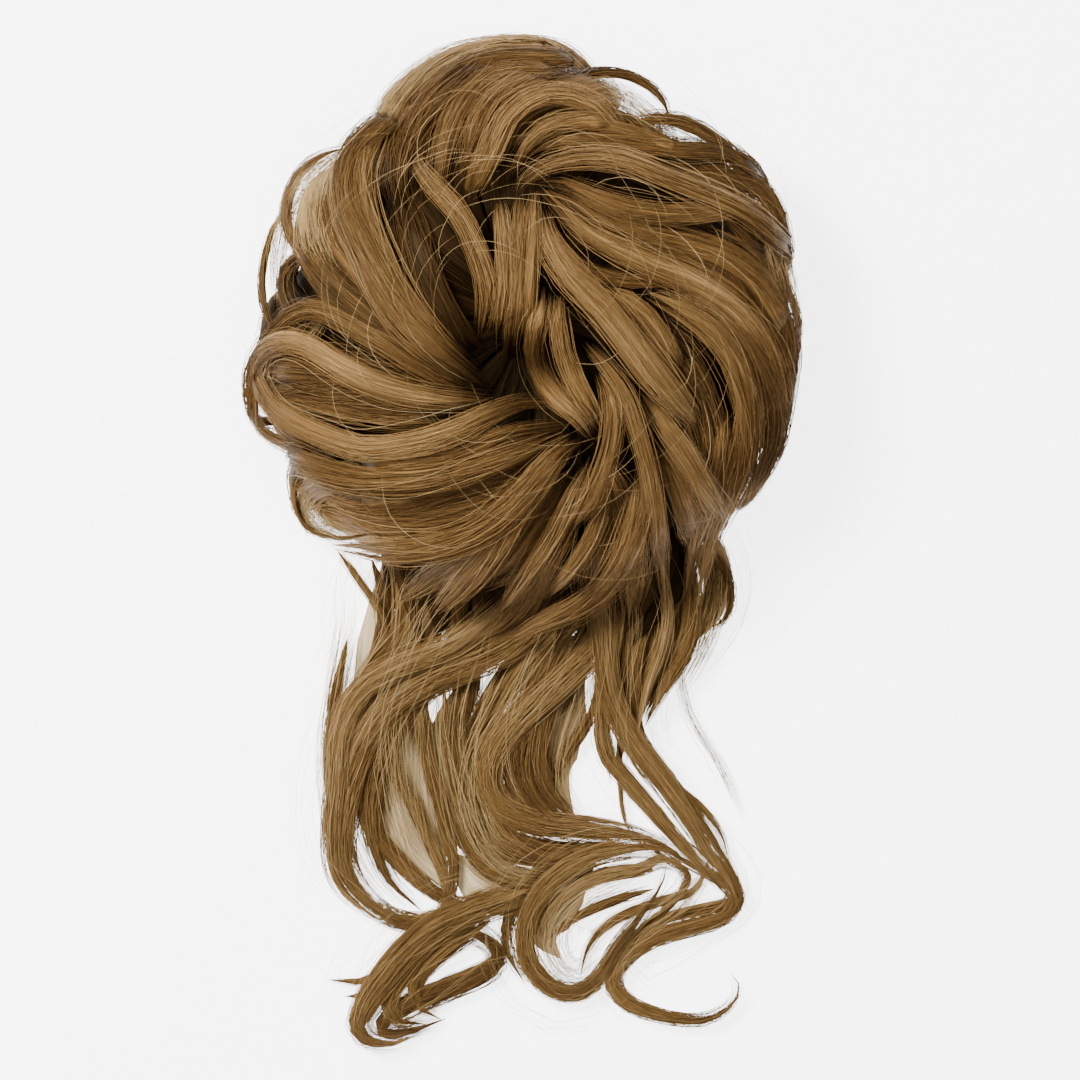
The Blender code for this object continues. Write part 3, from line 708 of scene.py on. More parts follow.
strandTree = bpy.data.node_groups.new("strandsAlongGuides", "GeometryNodeTree")
strandInputs = {
    "Amount": ("NodeSocketFloat", 1.0),
    "Radius": ("NodeSocketFloat", 0.0002),
    "Sides": ("NodeSocketInt", 3),
    "Step": ("NodeSocketFloat", 0.005),
    "Turn Low": ("NodeSocketFloat", -0.3),
    "Turn High": ("NodeSocketFloat", 3.44),
    "Reach Low": ("NodeSocketFloat", 0.85),
    "Reach High": ("NodeSocketFloat", 1.5),
    "Stray": ("NodeSocketFloat", 3.0),
    "Drift": ("NodeSocketFloat", 0.5),
    "Clumping": ("NodeSocketFloat", 0.6),
    "Wave": ("NodeSocketFloat", 0.0006),
    "Frizz": ("NodeSocketFloat", 0.0002),
    "Floor": ("NodeSocketFloat", 0.0003),
    "Seed": ("NodeSocketInt", 7),
    "Material": ("NodeSocketMaterial", None),
}


def buildStrandTree(tree):
    # Copies each guide many times, spreads the copies over its section and gives them a body
    tree.interface.new_socket("Geometry", in_out="INPUT", socket_type="NodeSocketGeometry")
    for name, (kind, value) in strandInputs.items():
        socket = tree.interface.new_socket(name, in_out="INPUT", socket_type=kind)
        if value is not None:
            socket.default_value = value
    tree.interface.new_socket("Geometry", in_out="OUTPUT", socket_type="NodeSocketGeometry")
    given = addNode(tree, "NodeGroupInput", (-2400, 0)).outputs
    made = addNode(tree, "NodeGroupOutput", (2600, 0))

    def named(name, kind="FLOAT"):
        return addNode(
            tree, "GeometryNodeInputNamedAttribute", links={"Name": name}, data_type=kind,
        ).outputs["Attribute"]

    def chance(low, high, identity, seed):
        # A random number that is fixed for each identity
        return addNode(
            tree, "FunctionNodeRandomValue",
            links={2: low, 3: high, "ID": identity, "Seed": maths(tree, "ADD", given["Seed"], seed)},
            data_type="FLOAT",
        ).outputs[1]

    curves = addNode(tree, "GeometryNodeMeshToCurve", links={"Mesh": given["Geometry"]}).outputs[0]
    amount = maths(tree, "MULTIPLY", named("strands"), given["Amount"])
    copies = addNode(
        tree, "GeometryNodeDuplicateElements", links={"Geometry": curves, "Amount": amount},
        domain="SPLINE",
    ).outputs[0]

    number = addNode(tree, "GeometryNodeInputIndex").outputs[0]
    lock = named("lock")
    clump = maths(tree, "FLOOR", chance(0.0, 7.0, number, 11))
    clumpIdentity = maths(tree, "ADD", maths(tree, "MULTIPLY", lock, 16.0), clump)
    turn = chance(given["Turn Low"], given["Turn High"], number, 1)
    clumpTurn = chance(given["Turn Low"], given["Turn High"], clumpIdentity, 3)
    settled = addNode(
        tree, "ShaderNodeMix", links={0: given["Clumping"], 2: turn, 3: clumpTurn},
    ).outputs[0]
    tone = maths(
        tree, "ADD",
        maths(tree, "ADD", chance(0.0, 0.42, number, 5), chance(0.0, 0.34, clumpIdentity, 6)),
        chance(0.0, 0.24, lock, 8),
    )
    kept = addNode(tree, "GeometryNodeCaptureAttribute", links={"Geometry": copies}, domain="CURVE")
    wanted = {
        "turn": settled,
        "reach": maths(
            tree, "MULTIPLY_ADD", maths(tree, "POWER", chance(0.0, 1.0, number, 2), given["Stray"]),
            maths(tree, "SUBTRACT", given["Reach High"], given["Reach Low"]), given["Reach Low"]),
        "tone": tone,
        "clumpKey": chance(0.0, 40.0, clumpIdentity, 9),
        "ownKey": chance(0.0, 40.0, number, 10),
        "start": chance(0.0, 0.14, number, 12),
        "stop": chance(0.8, 1.0, number, 13),
        "thick": chance(0.5, 1.25, number, 14),
    }
    for position, (name, value) in enumerate(wanted.items()):
        kept.capture_items.new("FLOAT", name)
        tree.links.new(value, kept.inputs[1 + position])
    own = {name: kept.outputs[1 + position] for position, name in enumerate(wanted)}

    trimmed = addNode(
        tree, "GeometryNodeTrimCurve", links={0: kept.outputs[0], 2: own["start"], 3: own["stop"]},
        mode="FACTOR",
    ).outputs[0]
    counted = addNode(
        tree, "GeometryNodeResampleCurve", links={"Curve": trimmed, "Length": given["Step"]},
        mode="LENGTH",
    ).outputs[0]

    along = addNode(tree, "GeometryNodeInputTangent").outputs[0]
    outward = named("outward", "FLOAT_VECTOR")
    across = vectorMaths(tree, "NORMALIZE", vectorMaths(tree, "CROSS_PRODUCT", along, outward))
    over = vectorMaths(tree, "CROSS_PRODUCT", across, along)
    place = addNode(tree, "GeometryNodeInputPosition").outputs[0]

    def waver(scale, key, amplitude):
        # A smooth push that differs by key and changes along the way
        colour = addNode(
            tree, "ShaderNodeTexNoise",
            links={"Vector": place, "W": key, "Scale": scale, "Detail": 1.0},
            noise_dimensions="4D",
        ).outputs["Color"]
        centred = vectorMaths(tree, "SUBTRACT", colour, (0.5, 0.5, 0.5))
        return vectorMaths(tree, "SCALE", centred, scale=maths(tree, "MULTIPLY", amplitude, 2.0))

    swing = addNode(
        tree, "ShaderNodeTexNoise",
        links={"Vector": place, "W": own["ownKey"], "Scale": 22.0, "Detail": 0.0},
        noise_dimensions="4D",
    ).outputs["Fac"]
    swing = maths(tree, "MULTIPLY", maths(tree, "SUBTRACT", swing, 0.5), given["Drift"])
    angle = maths(tree, "MULTIPLY_ADD", swing, 4.0, own["turn"])
    side = maths(tree, "MULTIPLY", maths(tree, "COSINE", angle), own["reach"])
    above = maths(tree, "MULTIPLY", maths(tree, "SINE", angle), own["reach"])
    push = vectorMaths(
        tree, "ADD",
        vectorMaths(tree, "SCALE", across, scale=maths(tree, "MULTIPLY", side, named("halfWide"))),
        vectorMaths(tree, "SCALE", over, scale=maths(tree, "MULTIPLY", above, named("halfDeep"))),
    )
    # Clumps wave about every 36 mm and single strands about every 17 mm
    push = vectorMaths(tree, "ADD", push, waver(28.0, own["clumpKey"], given["Wave"]))
    push = vectorMaths(tree, "ADD", push, waver(60.0, own["ownKey"], given["Frizz"]))
    moved = addNode(
        tree, "GeometryNodeSetPosition", links={"Geometry": counted, "Offset": push},
    ).outputs[0]
    parts = addNode(tree, "ShaderNodeSeparateXYZ", links={0: place})
    lifted = addNode(
        tree, "ShaderNodeCombineXYZ",
        links={
            0: parts.outputs[0], 1: parts.outputs[1],
            2: maths(tree, "MAXIMUM", parts.outputs[2], given["Floor"]),
        },
    ).outputs[0]
    clear = addNode(
        tree, "GeometryNodeSetPosition", links={"Geometry": moved, "Position": lifted},
    ).outputs[0]
    # Painted shade: each strand's tone is darkened by the shade its guide carries
    toned = addNode(
        tree, "GeometryNodeStoreNamedAttribute",
        links={
            "Geometry": clear, "Name": "tone",
            "Value": maths(
                tree, "SUBTRACT", maths(tree, "MULTIPLY_ADD", own["tone"], 0.66, 0.33),
                maths(tree, "MULTIPLY", named("shade"), 0.6)),
        },
        data_type="FLOAT", domain="POINT",
    ).outputs[0]

    share = addNode(tree, "GeometryNodeSplineParameter").outputs["Factor"]
    fromTip = maths(tree, "SUBTRACT", 1.0, share)
    nearEnd = maths(tree, "MINIMUM", fromTip, share)
    taper = maths(tree, "MINIMUM", maths(tree, "MULTIPLY_ADD", nearEnd, 5.0, 0.25), 1.0)
    section = addNode(
        tree, "GeometryNodeCurvePrimitiveCircle",
        links={"Resolution": given["Sides"], "Radius": given["Radius"]},
    ).outputs[0]
    body = addNode(
        tree, "GeometryNodeCurveToMesh",
        links={
            "Curve": toned, "Profile Curve": section, "Fill Caps": True,
            "Scale": maths(tree, "MULTIPLY", taper, own["thick"]),
        },
    ).outputs[0]
    smooth = addNode(tree, "GeometryNodeSetShadeSmooth", links={"Geometry": body}).outputs[0]
    real = addNode(tree, "GeometryNodeRealizeInstances", links={"Geometry": smooth}).outputs[0]
    finished = addNode(
        tree, "GeometryNodeSetMaterial", links={"Geometry": real, "Material": given["Material"]},
    ).outputs[0]
    tree.links.new(finished, made.inputs[0])


buildStrandTree(strandTree)


def keepColumn(mesh, name, values):
    # One number for each vertex, under a name that a material or the strand tree reads
    mesh.attributes.new(name, "FLOAT", "POINT").data.foreach_set("value", values)


def keepPiece(name, mesh):
    # Puts a finished mesh in the scene, on the root body
    piece = bpy.data.objects.new(name, mesh)
    bpy.context.scene.collection.objects.link(piece)
    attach(piece, "root")
    print(f"{name}: {sum(len(p.vertices) - 2 for p in mesh.polygons)} triangles")
    return piece


guideColumns = ("halfWide", "halfDeep", "strands", "lock", "shade", "outward")


def guideMesh(name, guides):
    # One mesh of open lines, a line for each guide, that carries their widths and directions
    places = []
    edges = []
    columns = {column: [] for column in guideColumns}
    for lock, (strands, guide) in enumerate(guides):
        first = len(places)
        for i, (place, outward, halfWide, halfDeep) in enumerate(guide):
            places.append(place + bandCentre)
            columns["halfWide"].append(halfWide)
            columns["halfDeep"].append(halfDeep)
            columns["strands"].append(strands)
            columns["lock"].append(float(lock))
            columns["shade"].append(paintedShadeAt(place))
            columns["outward"].extend(outward)
            if i:
                edges.append((first + i - 1, first + i))
    mesh = bpy.data.meshes.new(name)
    mesh.from_pydata(places, edges, [])
    for column, values in columns.items():
        if column == "outward":
            mesh.attributes.new(column, "FLOAT_VECTOR", "POINT").data.foreach_set("vector", values)
        else:
            keepColumn(mesh, column, values)
    return mesh


def strandPiece(name, guides, slot, **values):
    # Runs the strand tree on these guides and keeps its result as a plain mesh
    carrier = bpy.data.objects.new(name + "Guides", guideMesh(name, guides))
    bpy.context.scene.collection.objects.link(carrier)
    step = carrier.modifiers.new("strands", "NODES")
    step.node_group = strandTree
    for item in strandTree.interface.items_tree:
        if item.in_out == "INPUT" and item.name in values:
            step[item.identifier] = values[item.name]
    graph = bpy.context.evaluated_depsgraph_get()
    mesh = bpy.data.meshes.new_from_object(carrier.evaluated_get(graph))
    bpy.data.objects.remove(carrier)
    mesh.name = name
    for column in guideColumns:
        if column in mesh.attributes:
            mesh.attributes.remove(mesh.attributes[column])
    return keepPiece(name, mesh)


def guidesOf(locks, strandsPerPixel, makeGuide, **options):
    # Guides of one table. The strands follow each lock's width, and covered locks have half as many
    return [
        (
            max(5, round(half * strandsPerPixel * (1.0 if layer > 1 else 0.5))),
            makeGuide(half, layer, stations, **options),
        )
        for half, layer, stations in locks.values()
    ]


def lockBodies(name, guides, material, size=0.9, sides=12):
    # Closed bodies of whole locks: each guide lofted, with soft ridges along it
    vertices = []
    faces = []
    lockTones = []
    shades = []
    ways = []
    for number, (_, guide) in enumerate(guides):
        first = len(vertices)
        tone = noise.random()
        gone = 0.0
        rings = len(guide)
        narrow = lockLay["endNarrow"]
        for i, (place, outward, halfWide, halfDeep) in enumerate(guide):
            ahead = guide[min(i + 1, rings - 1)][0] - guide[max(i - 1, 0)][0]
            along = ahead.normalized()
            across = along.cross(outward).normalized()
            over = across.cross(along)
            if i:
                gone += (place - guide[i - 1][0]).length
            fromEnd = min(1.0, narrow * i / rings, narrow * (rings - 1 - i) / rings)
            narrowing = 0.06 + 0.94 * fromEnd ** 0.8
            for k in range(sides):
                turn = 2 * math.pi * k / sides
                ridge = noise.noise(Vector((
                    3 * math.cos(turn), 3 * math.sin(turn) + 9 * number, 25 * gone,
                )))
                grown = size * narrowing * (1 + 0.16 * ridge)
                spot = (
                    place + across * halfWide * grown * math.cos(turn)
                    + over * halfDeep * grown * math.sin(turn)
                )
                spot.z = max(spot.z, lockLay["floorClear"])
                vertices.append(spot + bandCentre)
                lockTones.append(tone)
                # Painted shade, from how deep the ring's centre lies among the hair
                shades.append(paintedShadeAt(place))
                ways.append((gone, halfWide * turn))
        for i in range(rings - 1):
            for k in range(sides):
                beside = (k + 1) % sides
                low = first + i * sides
                faces.append((low + k, low + beside, low + sides + beside, low + sides + k))
        for ring, order in ((0, -1), (rings - 1, 1)):
            low = first + ring * sides
            middle = len(vertices)
            spot = guide[ring][0].copy()
            spot.z = max(spot.z, lockLay["floorClear"])
            vertices.append(spot + bandCentre)
            lockTones.append(tone)
            shades.append(paintedShadeAt(guide[ring][0]))
            ways.append((gone * (ring > 0), 0.0))
            for k in range(sides):
                beside = (k + 1) % sides
                faces.append((low + k, low + beside, middle)[::order])
    mesh = bpy.data.meshes.new(name)
    mesh.from_pydata(vertices, [], faces)
    mesh.materials.append(material)
    mesh.shade_smooth()
    keepColumn(mesh, "tone", lockTones)
    keepColumn(mesh, "shade", shades)
    layer = mesh.uv_layers.new(name="strandWay")
    for loop in mesh.loops:
        layer.data[loop.index].uv = ways[loop.vertex_index]
    return keepPiece(name, mesh)


# Wraps: inner locks that go from the dome down the side and in under the bun to the band
wrapForm = {
    "count": 36,
    "half": 20,  # half width in photo pixels
    "twist": 0.75,  # turn from the top to the band, in radians
    "underDome": 11 * mm,  # depth of their tops under the bun's surface
    "uneven": 0.7,  # how far a wrap starts off its even place, in wraps
    "sway": 0.05,  # how far it swings in and out, in shares of the radius
    "lift": 1.0 * mm,
    "widthChange": 0.3,
    "sections": (
        # share of the outline there, height (None: under the dome), share of the turn
        (0.08, None, 0.0),
        (0.55, None, 0.2),
        (0.88, 19 * mm, 0.4),
        (0.95, 12 * mm, 0.6),
        (0.92, 6 * mm, 0.75),
        (0.70, 2.6 * mm, 0.9),
        (0.50, 2.6 * mm, 1.0),
    ),
}

# The bun's outline is lobed: direction from the band in degrees, share of its radius
outline = (
    (0, 0.96), (26, 0.94), (45, 0.87), (61, 0.79), (75, 0.88), (98, 0.98), (124, 0.91), (147, 0.88),
    (165, 0.91), (192, 0.99), (205, 0.98), (220, 1.02), (235, 0.92), (260, 0.84), (300, 0.88),
    (318, 0.97), (340, 0.98), (360, 0.96),
)


def outlineShare(turn):
    # How far the inner locks reach in one direction, in shares of the bun's radius
    angle = math.degrees(turn) % 360
    for (low, lowShare), (high, highShare) in zip(outline, outline[1:]):
        if low <= angle <= high:
            return lowShare + (highShare - lowShare) * (angle - low) / (high - low)
    return outline[0][1]


def wrapGuide(number):
    # One wrap, turned round the bun by its number. The sines make neighbours differ
    start = 2 * math.pi * (number + wrapForm["uneven"] * math.sin(5.1 * number)) / wrapForm["count"]
    sway = wrapForm["sway"] * math.sin(7.3 * number)
    lift = (1.0 + math.sin(3.7 * number)) * wrapForm["lift"]
    corners = []
    for radiusShare, height, turnShare in wrapForm["sections"]:
        turn = start - wrapForm["twist"] * turnShare
        swayed = radiusShare + sway * (1 - abs(2 * turnShare - 1))
        radius = bunForm["radius"] * outlineShare(turn) * swayed
        x = radius * math.cos(turn)
        y = radius * math.sin(turn)
        if height is None:
            z = max(bunForm["hollowHeight"] + 4 * mm, bunSurface(x, y) - wrapForm["underDome"])
        else:
            z = height + lift * (1 - turnShare)
        if y < -0.45 * bunForm["radius"] and abs(x) < 0.75 * bunForm["radius"]:
            z = max(z, tailForm["rootThick"] + 1 * mm)
        corners.append(Vector((x, y, z)))
    half = wrapForm["half"] * photoView["step"] * (1 + wrapForm["widthChange"] * math.sin(2.9 * number))
    return [
        (place, bunOutward(place), half, 0.4 * half) for place in smoothRoute(corners, lockLay["points"])
    ]


# Locks between the bun's front edge and the tails, coloured dark as painted shade, in photo pixels
rootForm = {
    "count": 24,
    "half": 17,
    # width of the row, its shift to the right, how far down the photo
    "rows": ((280, 10, 470), (290, 10, 530), (270, 5, 590), (220, -10, 650)),
}
rootLocks = {
    f"root{number}": (rootForm["half"], 1 + 2 * (number % 2), tuple(
        (photoView["bandPixel"][0] + (number / (rootForm["count"] - 1) - 0.5) * width + shift, low)
        for width, shift, low in rootForm["rows"]
    ))
    for number in range(rootForm["count"])
}

# Sparse veils of strands between the locks: half width in pixels, layer, stations
bunVeils = {
    "upperRight": (20, 1, ((560, 90), (610, 100), (650, 130), (680, 160))),
    "upperLeft": (24, 1, ((352, 150), (326, 185), (320, 240), (345, 290))),
    "upperLeftOut": (12, 0, ((345, 150), (300, 185), (280, 240), (275, 300))),
    "left": (22, 1, ((330, 300), (285, 350), (270, 400), (300, 440))),
    "lowLeft": (20, 1, ((340, 460), (308, 490), (315, 520), (350, 535))),
    "right": (16, 1, ((730, 180), (765, 230), (785, 300), (785, 360))),
    "rightLow": (14, 1, ((785, 330), (782, 400), (768, 460), (740, 510))),
    "crown": (20, 2, ((590, 75), (520, 45), (440, 65), (390, 120), (370, 180))),
}
tailVeils = {
    "outer": (18, 1, ((350, 600), (338, 680), (328, 770), (345, 860), (390, 915))),
    "fan": (30, 0, ((430, 600), (400, 680), (395, 760), (410, 840), (440, 900))),
    "fanRight": (28, 0, ((460, 640), (440, 720), (450, 800), (480, 865), (540, 888), (600, 882))),
    "middle": (26, 0, ((560, 620), (510, 700), (478, 770), (492, 840), (545, 880))),
    "middleRight": (16, 1, ((590, 640), (575, 700), (560, 750), (560, 800), (590, 835))),
    "lobe": (20, 2, ((700, 525), (714, 575), (702, 635), (672, 695))),
    "rightEdge": (8, 1, ((680, 640), (688, 710), (722, 770), (748, 830))),
    "ring": (22, 1, ((640, 870), (580, 895), (548, 945), (575, 985), (610, 960))),
    "ringRight": (18, 1, ((700, 870), (680, 905), (640, 935), (610, 985))),
    "endCurl": (18, 1, ((520, 895), (430, 940), (375, 1000), (372, 1045))),
    "endCurlLow": (14, 1, ((500, 960), (440, 1000), (390, 1030), (420, 1040))),
}

# Thin layers of loose hair that lie flat on the table between the tails' locks: half width, stations
thinLayers = {
    "leftLoop": (44, ((430, 640), (395, 720), (400, 800), (425, 860), (455, 900))),
    "leftLoopRight": (34, ((470, 670), (452, 730), (468, 800), (495, 860), (530, 900))),
    "lowMiddle": (26, ((440, 850), (480, 885), (530, 895), (580, 885))),
    "middle": (30, ((590, 650), (560, 710), (550, 770), (575, 820))),
    "ring": (26, ((600, 860), (560, 900), (545, 940), (562, 965))),
    "sideMass": (14, ((385, 545), (380, 600), (366, 650), (348, 700))),
    "rightLobe": (13, ((712, 530), (721, 575), (712, 615), (690, 650))),
}

# The same in the open lobes of the bun, at its own height: half width, layer, stations
thinLobes = {
    "upperLeft": (22, -1, ((350, 150), (325, 190), (315, 240), (330, 300))),
    "leftLobe": (18, -1, ((325, 340), (274, 366), (266, 400), (284, 426), (330, 440))),
    "lowLobe": (22, -1, ((385, 458), (328, 484), (320, 514), (348, 532), (410, 538))),
}


thinForm = {"height": 0.7 * mm, "halfThick": 0.25 * mm}


def thinGuide(half, stations):
    # One thin layer, just over the table and rounded at its ends
    guide = []
    for i, place in enumerate(smoothRoute([fromPhoto(s) for s in stations], lockLay["points"])):
        share = i / (lockLay["points"] - 1)
        full = math.sin(math.pi * min(0.97, max(0.03, share))) ** 0.5
        place.z = thinForm["height"]
        wide = half * photoView["step"] * full
        guide.append((place, Vector((0, 0, 1)), wide, thinForm["halfThick"]))
    return guide


# Frizzy single hairs round the tails
tailFuzz = {
    "neck": (34, 3, ((400, 530), (375, 590), (368, 640), (350, 700))),
    "neckLow": (30, 4, ((470, 560), (430, 610), (400, 660), (370, 720), (345, 800))),
    "middle": (40, 4, ((560, 600), (530, 680), (510, 760), (540, 830))),
    "right": (34, 4, ((640, 560), (650, 620), (640, 680), (640, 740), (680, 800))),
    "lobe": (26, 3, ((705, 525), (722, 575), (712, 625), (680, 680))),
    "leftSide": (20, 2, ((345, 690), (325, 770), (330, 850), (370, 920))),
    "ring": (40, 4, ((660, 860), (590, 870), (540, 920), (560, 980), (620, 950))),
    "end": (34, 4, ((520, 900), (440, 930), (380, 985), (365, 1030))),
    "bend": (26, 4, ((700, 850), (730, 890), (680, 930), (620, 970), (660, 1010))),
}

# Strand settings: over the locks, all through a section, spread past it, loose, and wild
onLock = {
    "Radius": 0.09 * mm, "Sides": 3, "Step": 6.2 * mm, "Clumping": 0.35, "Drift": 0.6,
    "Wave": 0.8 * mm, "Frizz": 0.3 * mm, "Material": strandFibre, "Floor": lockLay["floorClear"],
}
allRound = {
    **onLock, "Turn Low": 0.0, "Turn High": 6.28, "Reach Low": 0.1, "Reach High": 1.0, "Stray": 0.7,
}
spreadOut = {
    **onLock, "Reach Low": 0.85, "Reach High": 1.2, "Stray": 1.4, "Radius": 0.085 * mm, "Step": 5 * mm,
}
loose = {
    **allRound, "Radius": 0.06 * mm, "Clumping": 0.15, "Wave": 1.6 * mm, "Frizz": 0.6 * mm,
    "Step": 6 * mm, "Material": looseFibre,
}
wild = {
    **allRound, "Radius": 0.042 * mm, "Clumping": 0.0, "Wave": 3.6 * mm, "Frizz": 0.7 * mm,
    "Reach High": 1.8, "Step": 3.2 * mm, "Material": looseFibre,
}

# Stray hairs over the bun, lengths and heights in millimetres
strayForm = {
    "count": 120, "points": 14, "shortest": 16, "lengthChange": 26, "lowest": 0.3, "rise": 3,
}


def strayArcs():
    # Short single hairs that arc over the bun in any direction
    arcs = []
    steps = strayForm["points"] - 1
    for number in range(strayForm["count"]):
        turn = 2 * math.pi * noise.random()
        away = bunForm["radius"] * 0.9 * math.sqrt(noise.random())
        heading = turn + math.pi * (0.45 + 0.35 * noise.random())
        bend = 0.8 + 1.6 * noise.random()
        length = (strayForm["shortest"] + strayForm["lengthChange"] * noise.random()) * mm
        lift = (strayForm["lowest"] + strayForm["rise"] * noise.random()) * mm
        place = Vector((away * math.cos(turn), away * math.sin(turn), 0))
        guide = []
        for i in range(steps + 1):
            share = i / steps
            direction = heading + bend * (share - 0.5)
            place = place + Vector((math.cos(direction), math.sin(direction), 0)) * length / steps
            spot = place.copy()
            spot.z = bunSurface(place.x, place.y) + lift * (0.3 + math.sin(math.pi * share))
            guide.append((spot, bunOutward(spot), 4 * mm, 1 * mm))
        arcs.append((1, guide))
    return arcs


halfOfBun = len(bunLocks) // 2
bunNames = list(bunLocks)
bunFirst = guidesOf({name: bunLocks[name] for name in bunNames[:halfOfBun]}, 6.2, bunGuide)
bunSecond = guidesOf({name: bunLocks[name] for name in bunNames[halfOfBun:]}, 6.2, bunGuide)
falls = guidesOf(fallLocks, 7, bunGuide, tuckTip=False)
loops = guidesOf(looseLoops, 8, bunGuide, wrap=False, flat=0.95)
wraps = [(8, wrapGuide(number)) for number in range(wrapForm["count"])]
veils = guidesOf(bunVeils, 12, bunGuide, wrap=False)

lockBodies("bunLocks", bunFirst + bunSecond + falls, lockFibre, size=0.84)
# The wraps are coloured as painted shade
lockBodies("wrapLocks", wraps, paintedShadeFibre, size=1.0, sides=10)
lockBodies("looseLocks", loops, lockFibre, size=0.8, sides=8)
strandPiece("bunStrandsUpper", bunFirst, "bun_fibre", Seed=3, **onLock)
strandPiece("bunStrandsLower", bunSecond + falls, "bun_fibre", Seed=4, **onLock)
strandPiece("looseStrands", loops, "bun_fibre", Seed=5, **spreadOut)
strandPiece("bunVeils", veils, "bun_fibre", Seed=6, **loose)
strandPiece("wrapStrands", wraps, "bun_fibre", Seed=7, **{**onLock, "Material": paintedShadeStrandFibre})
for name, table, seed in (("Left", leftTail, 8), ("Centre", centreTail, 9), ("Right", rightTail, 10)):
    slot = "tail_" + name.lower() + "_fibre"
    guides = guidesOf(table, 8, tailGuide)
    bodies = lockBodies("tail" + name + "Locks", guides, tailLockFibre)
    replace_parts(bodies, "tail_" + name.lower())
    values = {**spreadOut, "Material": tailFibre}
    strandPiece("tail" + name + "Strands", guides, slot, Seed=seed, **values)
lockBodies(
    "thinLobes", guidesOf(thinLobes, 1, bunGuide, wrap=False, flat=0.1), lobeFibre,
    size=1.0, sides=16,
)
lockBodies(
    "thinLayers", [(1, thinGuide(half, stations)) for half, stations in thinLayers.values()],
    thinFibre, size=1.0, sides=16,
)
lockBodies("rootLocks", guidesOf(rootLocks, 1, tailGuide), paintedShadeFibre, size=1.0)
strandPiece(
    "tailVeils", guidesOf(tailVeils, 7, tailGuide, tipShare=0.8), "tail_centre_fibre", Seed=12, **loose,
)
strandPiece(
    "flyaways",
    strayArcs() + [(4, guide) for _, guide in bunFirst + bunSecond + falls]
    + [(2, guide) for _, guide in guidesOf({**leftTail, **centreTail, **rightTail}, 1, tailGuide)]
    + guidesOf(tailFuzz, 1.0, tailGuide, tipShare=0.9),
    "bun_fibre", Seed=15, **wild,
)


def turnedObject(name, profile, segments, material, ribs=0, ribDepth=0.0):
    # A closed turned form. The profile is a loop of (radius, height, how far it follows the outline)
    vertices = []
    faces = []
    count = len(profile)
    for k in range(segments):
        turn = 2 * math.pi * k / segments
        for j, (radius, height, lobed) in enumerate(profile):
            rib = ribDepth * math.cos(ribs * turn + 0.9 * j * lobed)
            reach = radius * (1 + lobed * (outlineShare(turn) - 1)) + rib
            x = reach * math.cos(turn)
            y = reach * math.sin(turn)
            if height is None:
                height = max(bunForm["hollowHeight"] + 3 * mm, bunSurface(x, y) - 13 * mm)
            vertices.append(Vector((x, y, height)) + bandCentre)
    for k in range(segments):
        after = (k + 1) % segments
        for j in range(count):
            beside = (j + 1) % count
            faces.append((
                k * count + j, after * count + j, after * count + beside, k * count + beside,
            ))
    mesh = bpy.data.meshes.new(name)
    mesh.from_pydata(vertices, [], faces)
    mesh.materials.append(material)
    mesh.shade_smooth()
    keepColumn(mesh, "tone", [0.3] * len(vertices))
    return keepPiece(name, mesh)


bodyForm = {"segments": 120, "bandGap": 0.5 * mm, "ribs": 24, "ribDepth": 0.5 * mm}


def bunBody():
    # The mass of hair inside the bun, coloured near black as painted shade, open underneath for the
    # wearer's own knot
    overBand = bandHeight + bodyForm["bandGap"]
    besideBand = bandOuter + bodyForm["bandGap"]
    profile = [
        (besideBand, 1.2 * mm, 0),
        (0.70 * bunForm["radius"], 1.2 * mm, 1),
        (0.86 * bunForm["radius"], 4 * mm, 1),
        (0.95 * bunForm["radius"], 10 * mm, 1),
        (0.90 * bunForm["radius"], 16 * mm, 1),
    ]
    profile += [(share * bunForm["radius"], None, 1) for share in (0.78, 0.62, 0.46, 0.30, 0.15)]
    profile += [
        (0.2 * mm, bunForm["hollowHeight"] + 3 * mm, 0),
        (0.2 * mm, bunForm["hollowHeight"], 0),
        (0.6 * bandInner, bunForm["hollowHeight"], 0),
        (bandInner, 0.7 * bunForm["hollowHeight"], 0),
        (bandInner, overBand, 0),
        (besideBand, overBand, 0),
    ]
    return turnedObject(
        "bunBody", profile, bodyForm["segments"], shadeFibre,
        ribs=bodyForm["ribs"], ribDepth=bodyForm["ribDepth"],
    )


ringForm = {"segments": 288, "softEdge": 1.2 * mm, "ribs": 72, "ribDepth": 0.12 * mm}


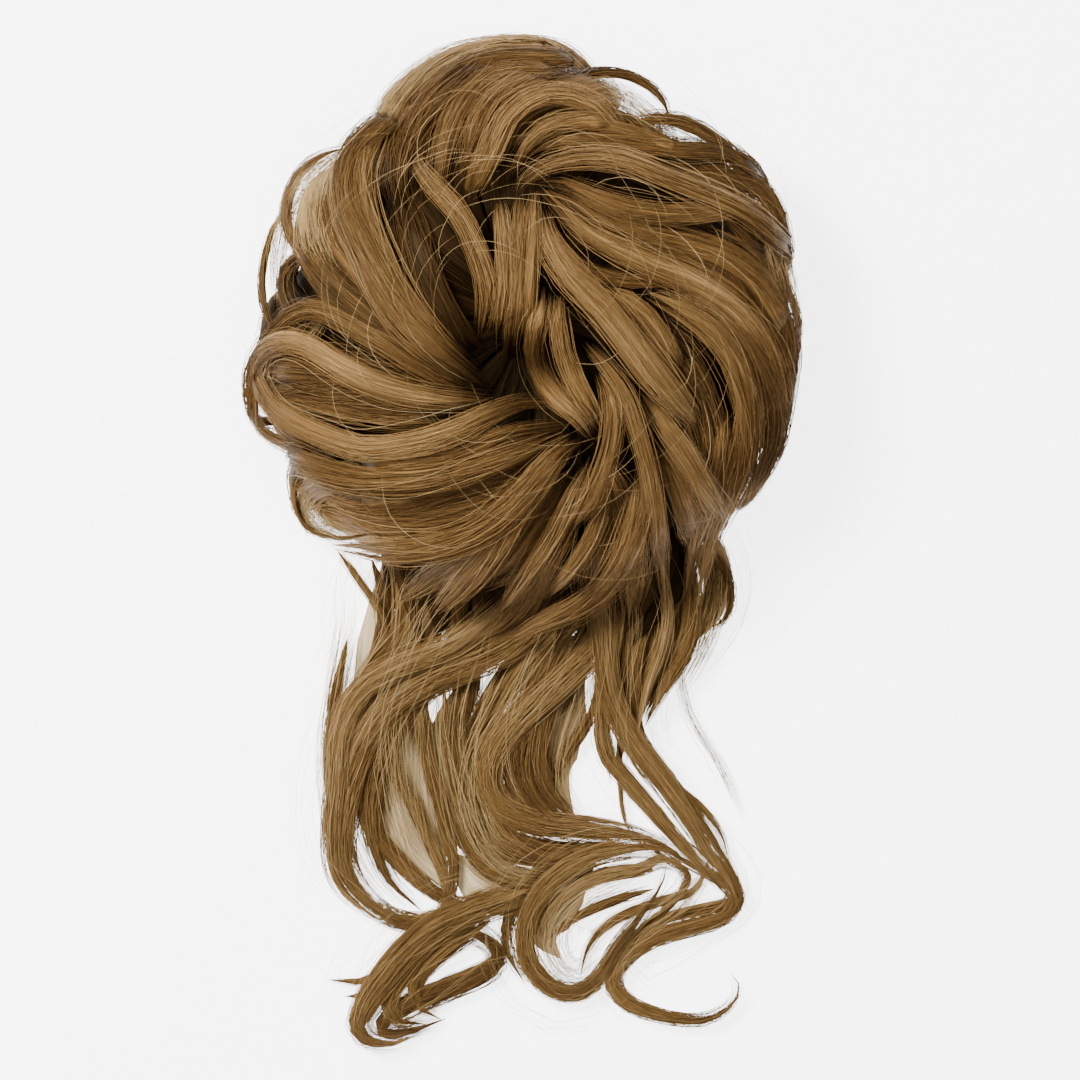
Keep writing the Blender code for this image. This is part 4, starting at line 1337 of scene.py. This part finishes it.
def elasticRing():
    # The elastic ring, with fine ribs across it
    soft = ringForm["softEdge"]
    profile = [
        (bandInner + soft, 0.0, 0),
        (bandOuter - soft, 0.0, 0),
        (bandOuter - 0.2 * soft, 0.4 * soft, 0),
        (bandOuter, soft, 0),
        (bandOuter, bandHeight - soft, 0),
        (bandOuter - soft, bandHeight, 0),
        (bandInner + soft, bandHeight, 0),
        (bandInner, bandHeight - soft, 0),
        (bandInner, soft, 0),
        (bandInner + 0.2 * soft, 0.4 * soft, 0),
    ]
    return turnedObject(
        "elasticRing", profile, ringForm["segments"], elasticMaterial(),
        ribs=ringForm["ribs"], ribDepth=ringForm["ribDepth"],
    )


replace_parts(bunBody(), "hair_bun")
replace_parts(elasticRing(), "elastic_band")
print("hair made")

studioLook = {
    "tableSize": 6,
    "tableDrop": 0.2 * mm,
    "surround": 0.8,
    # name, place, size in metres, watts
    "lights": (
        ("keyLight", (-0.75, 0.55, 1.1), 0.5, 60),
        ("fillLight", (0.7, -0.3, 1.4), 1.2, 8),
    ),
    "cameraHeight": 1.7,
    "readHeight": 22 * mm,  # height at which one pixel of the photo has its length
}


def studio():
    # White table that glows as painted light, soft light from the upper left, and a bright even surround
    drop = studioLook["tableDrop"]
    bpy.ops.mesh.primitive_plane_add(size=studioLook["tableSize"], location=(0, 0, -drop))
    table = bpy.context.object
    table.name = "table"
    table.data.materials.append(glowingFloorMaterial())
    world = bpy.data.worlds.new("surround")
    bpy.context.scene.world = world
    world.use_nodes = True
    background = world.node_tree.nodes["Background"]
    background.inputs["Color"].default_value = linear("ffffff")
    background.inputs["Strength"].default_value = studioLook["surround"]
    for name, place, size, power in studioLook["lights"]:
        light = bpy.data.lights.new(name, "AREA")
        light.size = size
        light.energy = power
        lamp = bpy.data.objects.new(name, light)
        lamp.location = place
        lamp.rotation_euler = (-Vector(place)).to_track_quat("-Z", "Y").to_euler()
        bpy.context.scene.collection.objects.link(lamp)


def photoCamera():
    # The photo's own view: from straight above, with a long lens
    lens = bpy.data.cameras.new("photoCamera")
    camera = bpy.data.objects.new("photoCamera", lens)
    bpy.context.scene.collection.objects.link(camera)
    distance = studioLook["cameraHeight"]
    away = distance - studioLook["readHeight"]
    lens.angle = 2 * math.atan(photoView["size"] * photoView["step"] / 2 / away)
    middle = fromPhoto((photoView["size"] / 2, photoView["size"] / 2)) + bandCentre
    camera.location = (middle.x, middle.y, distance)
    lens.clip_end = 50
    bpy.context.scene.camera = camera


studio()
photoCamera()
print("stage made")
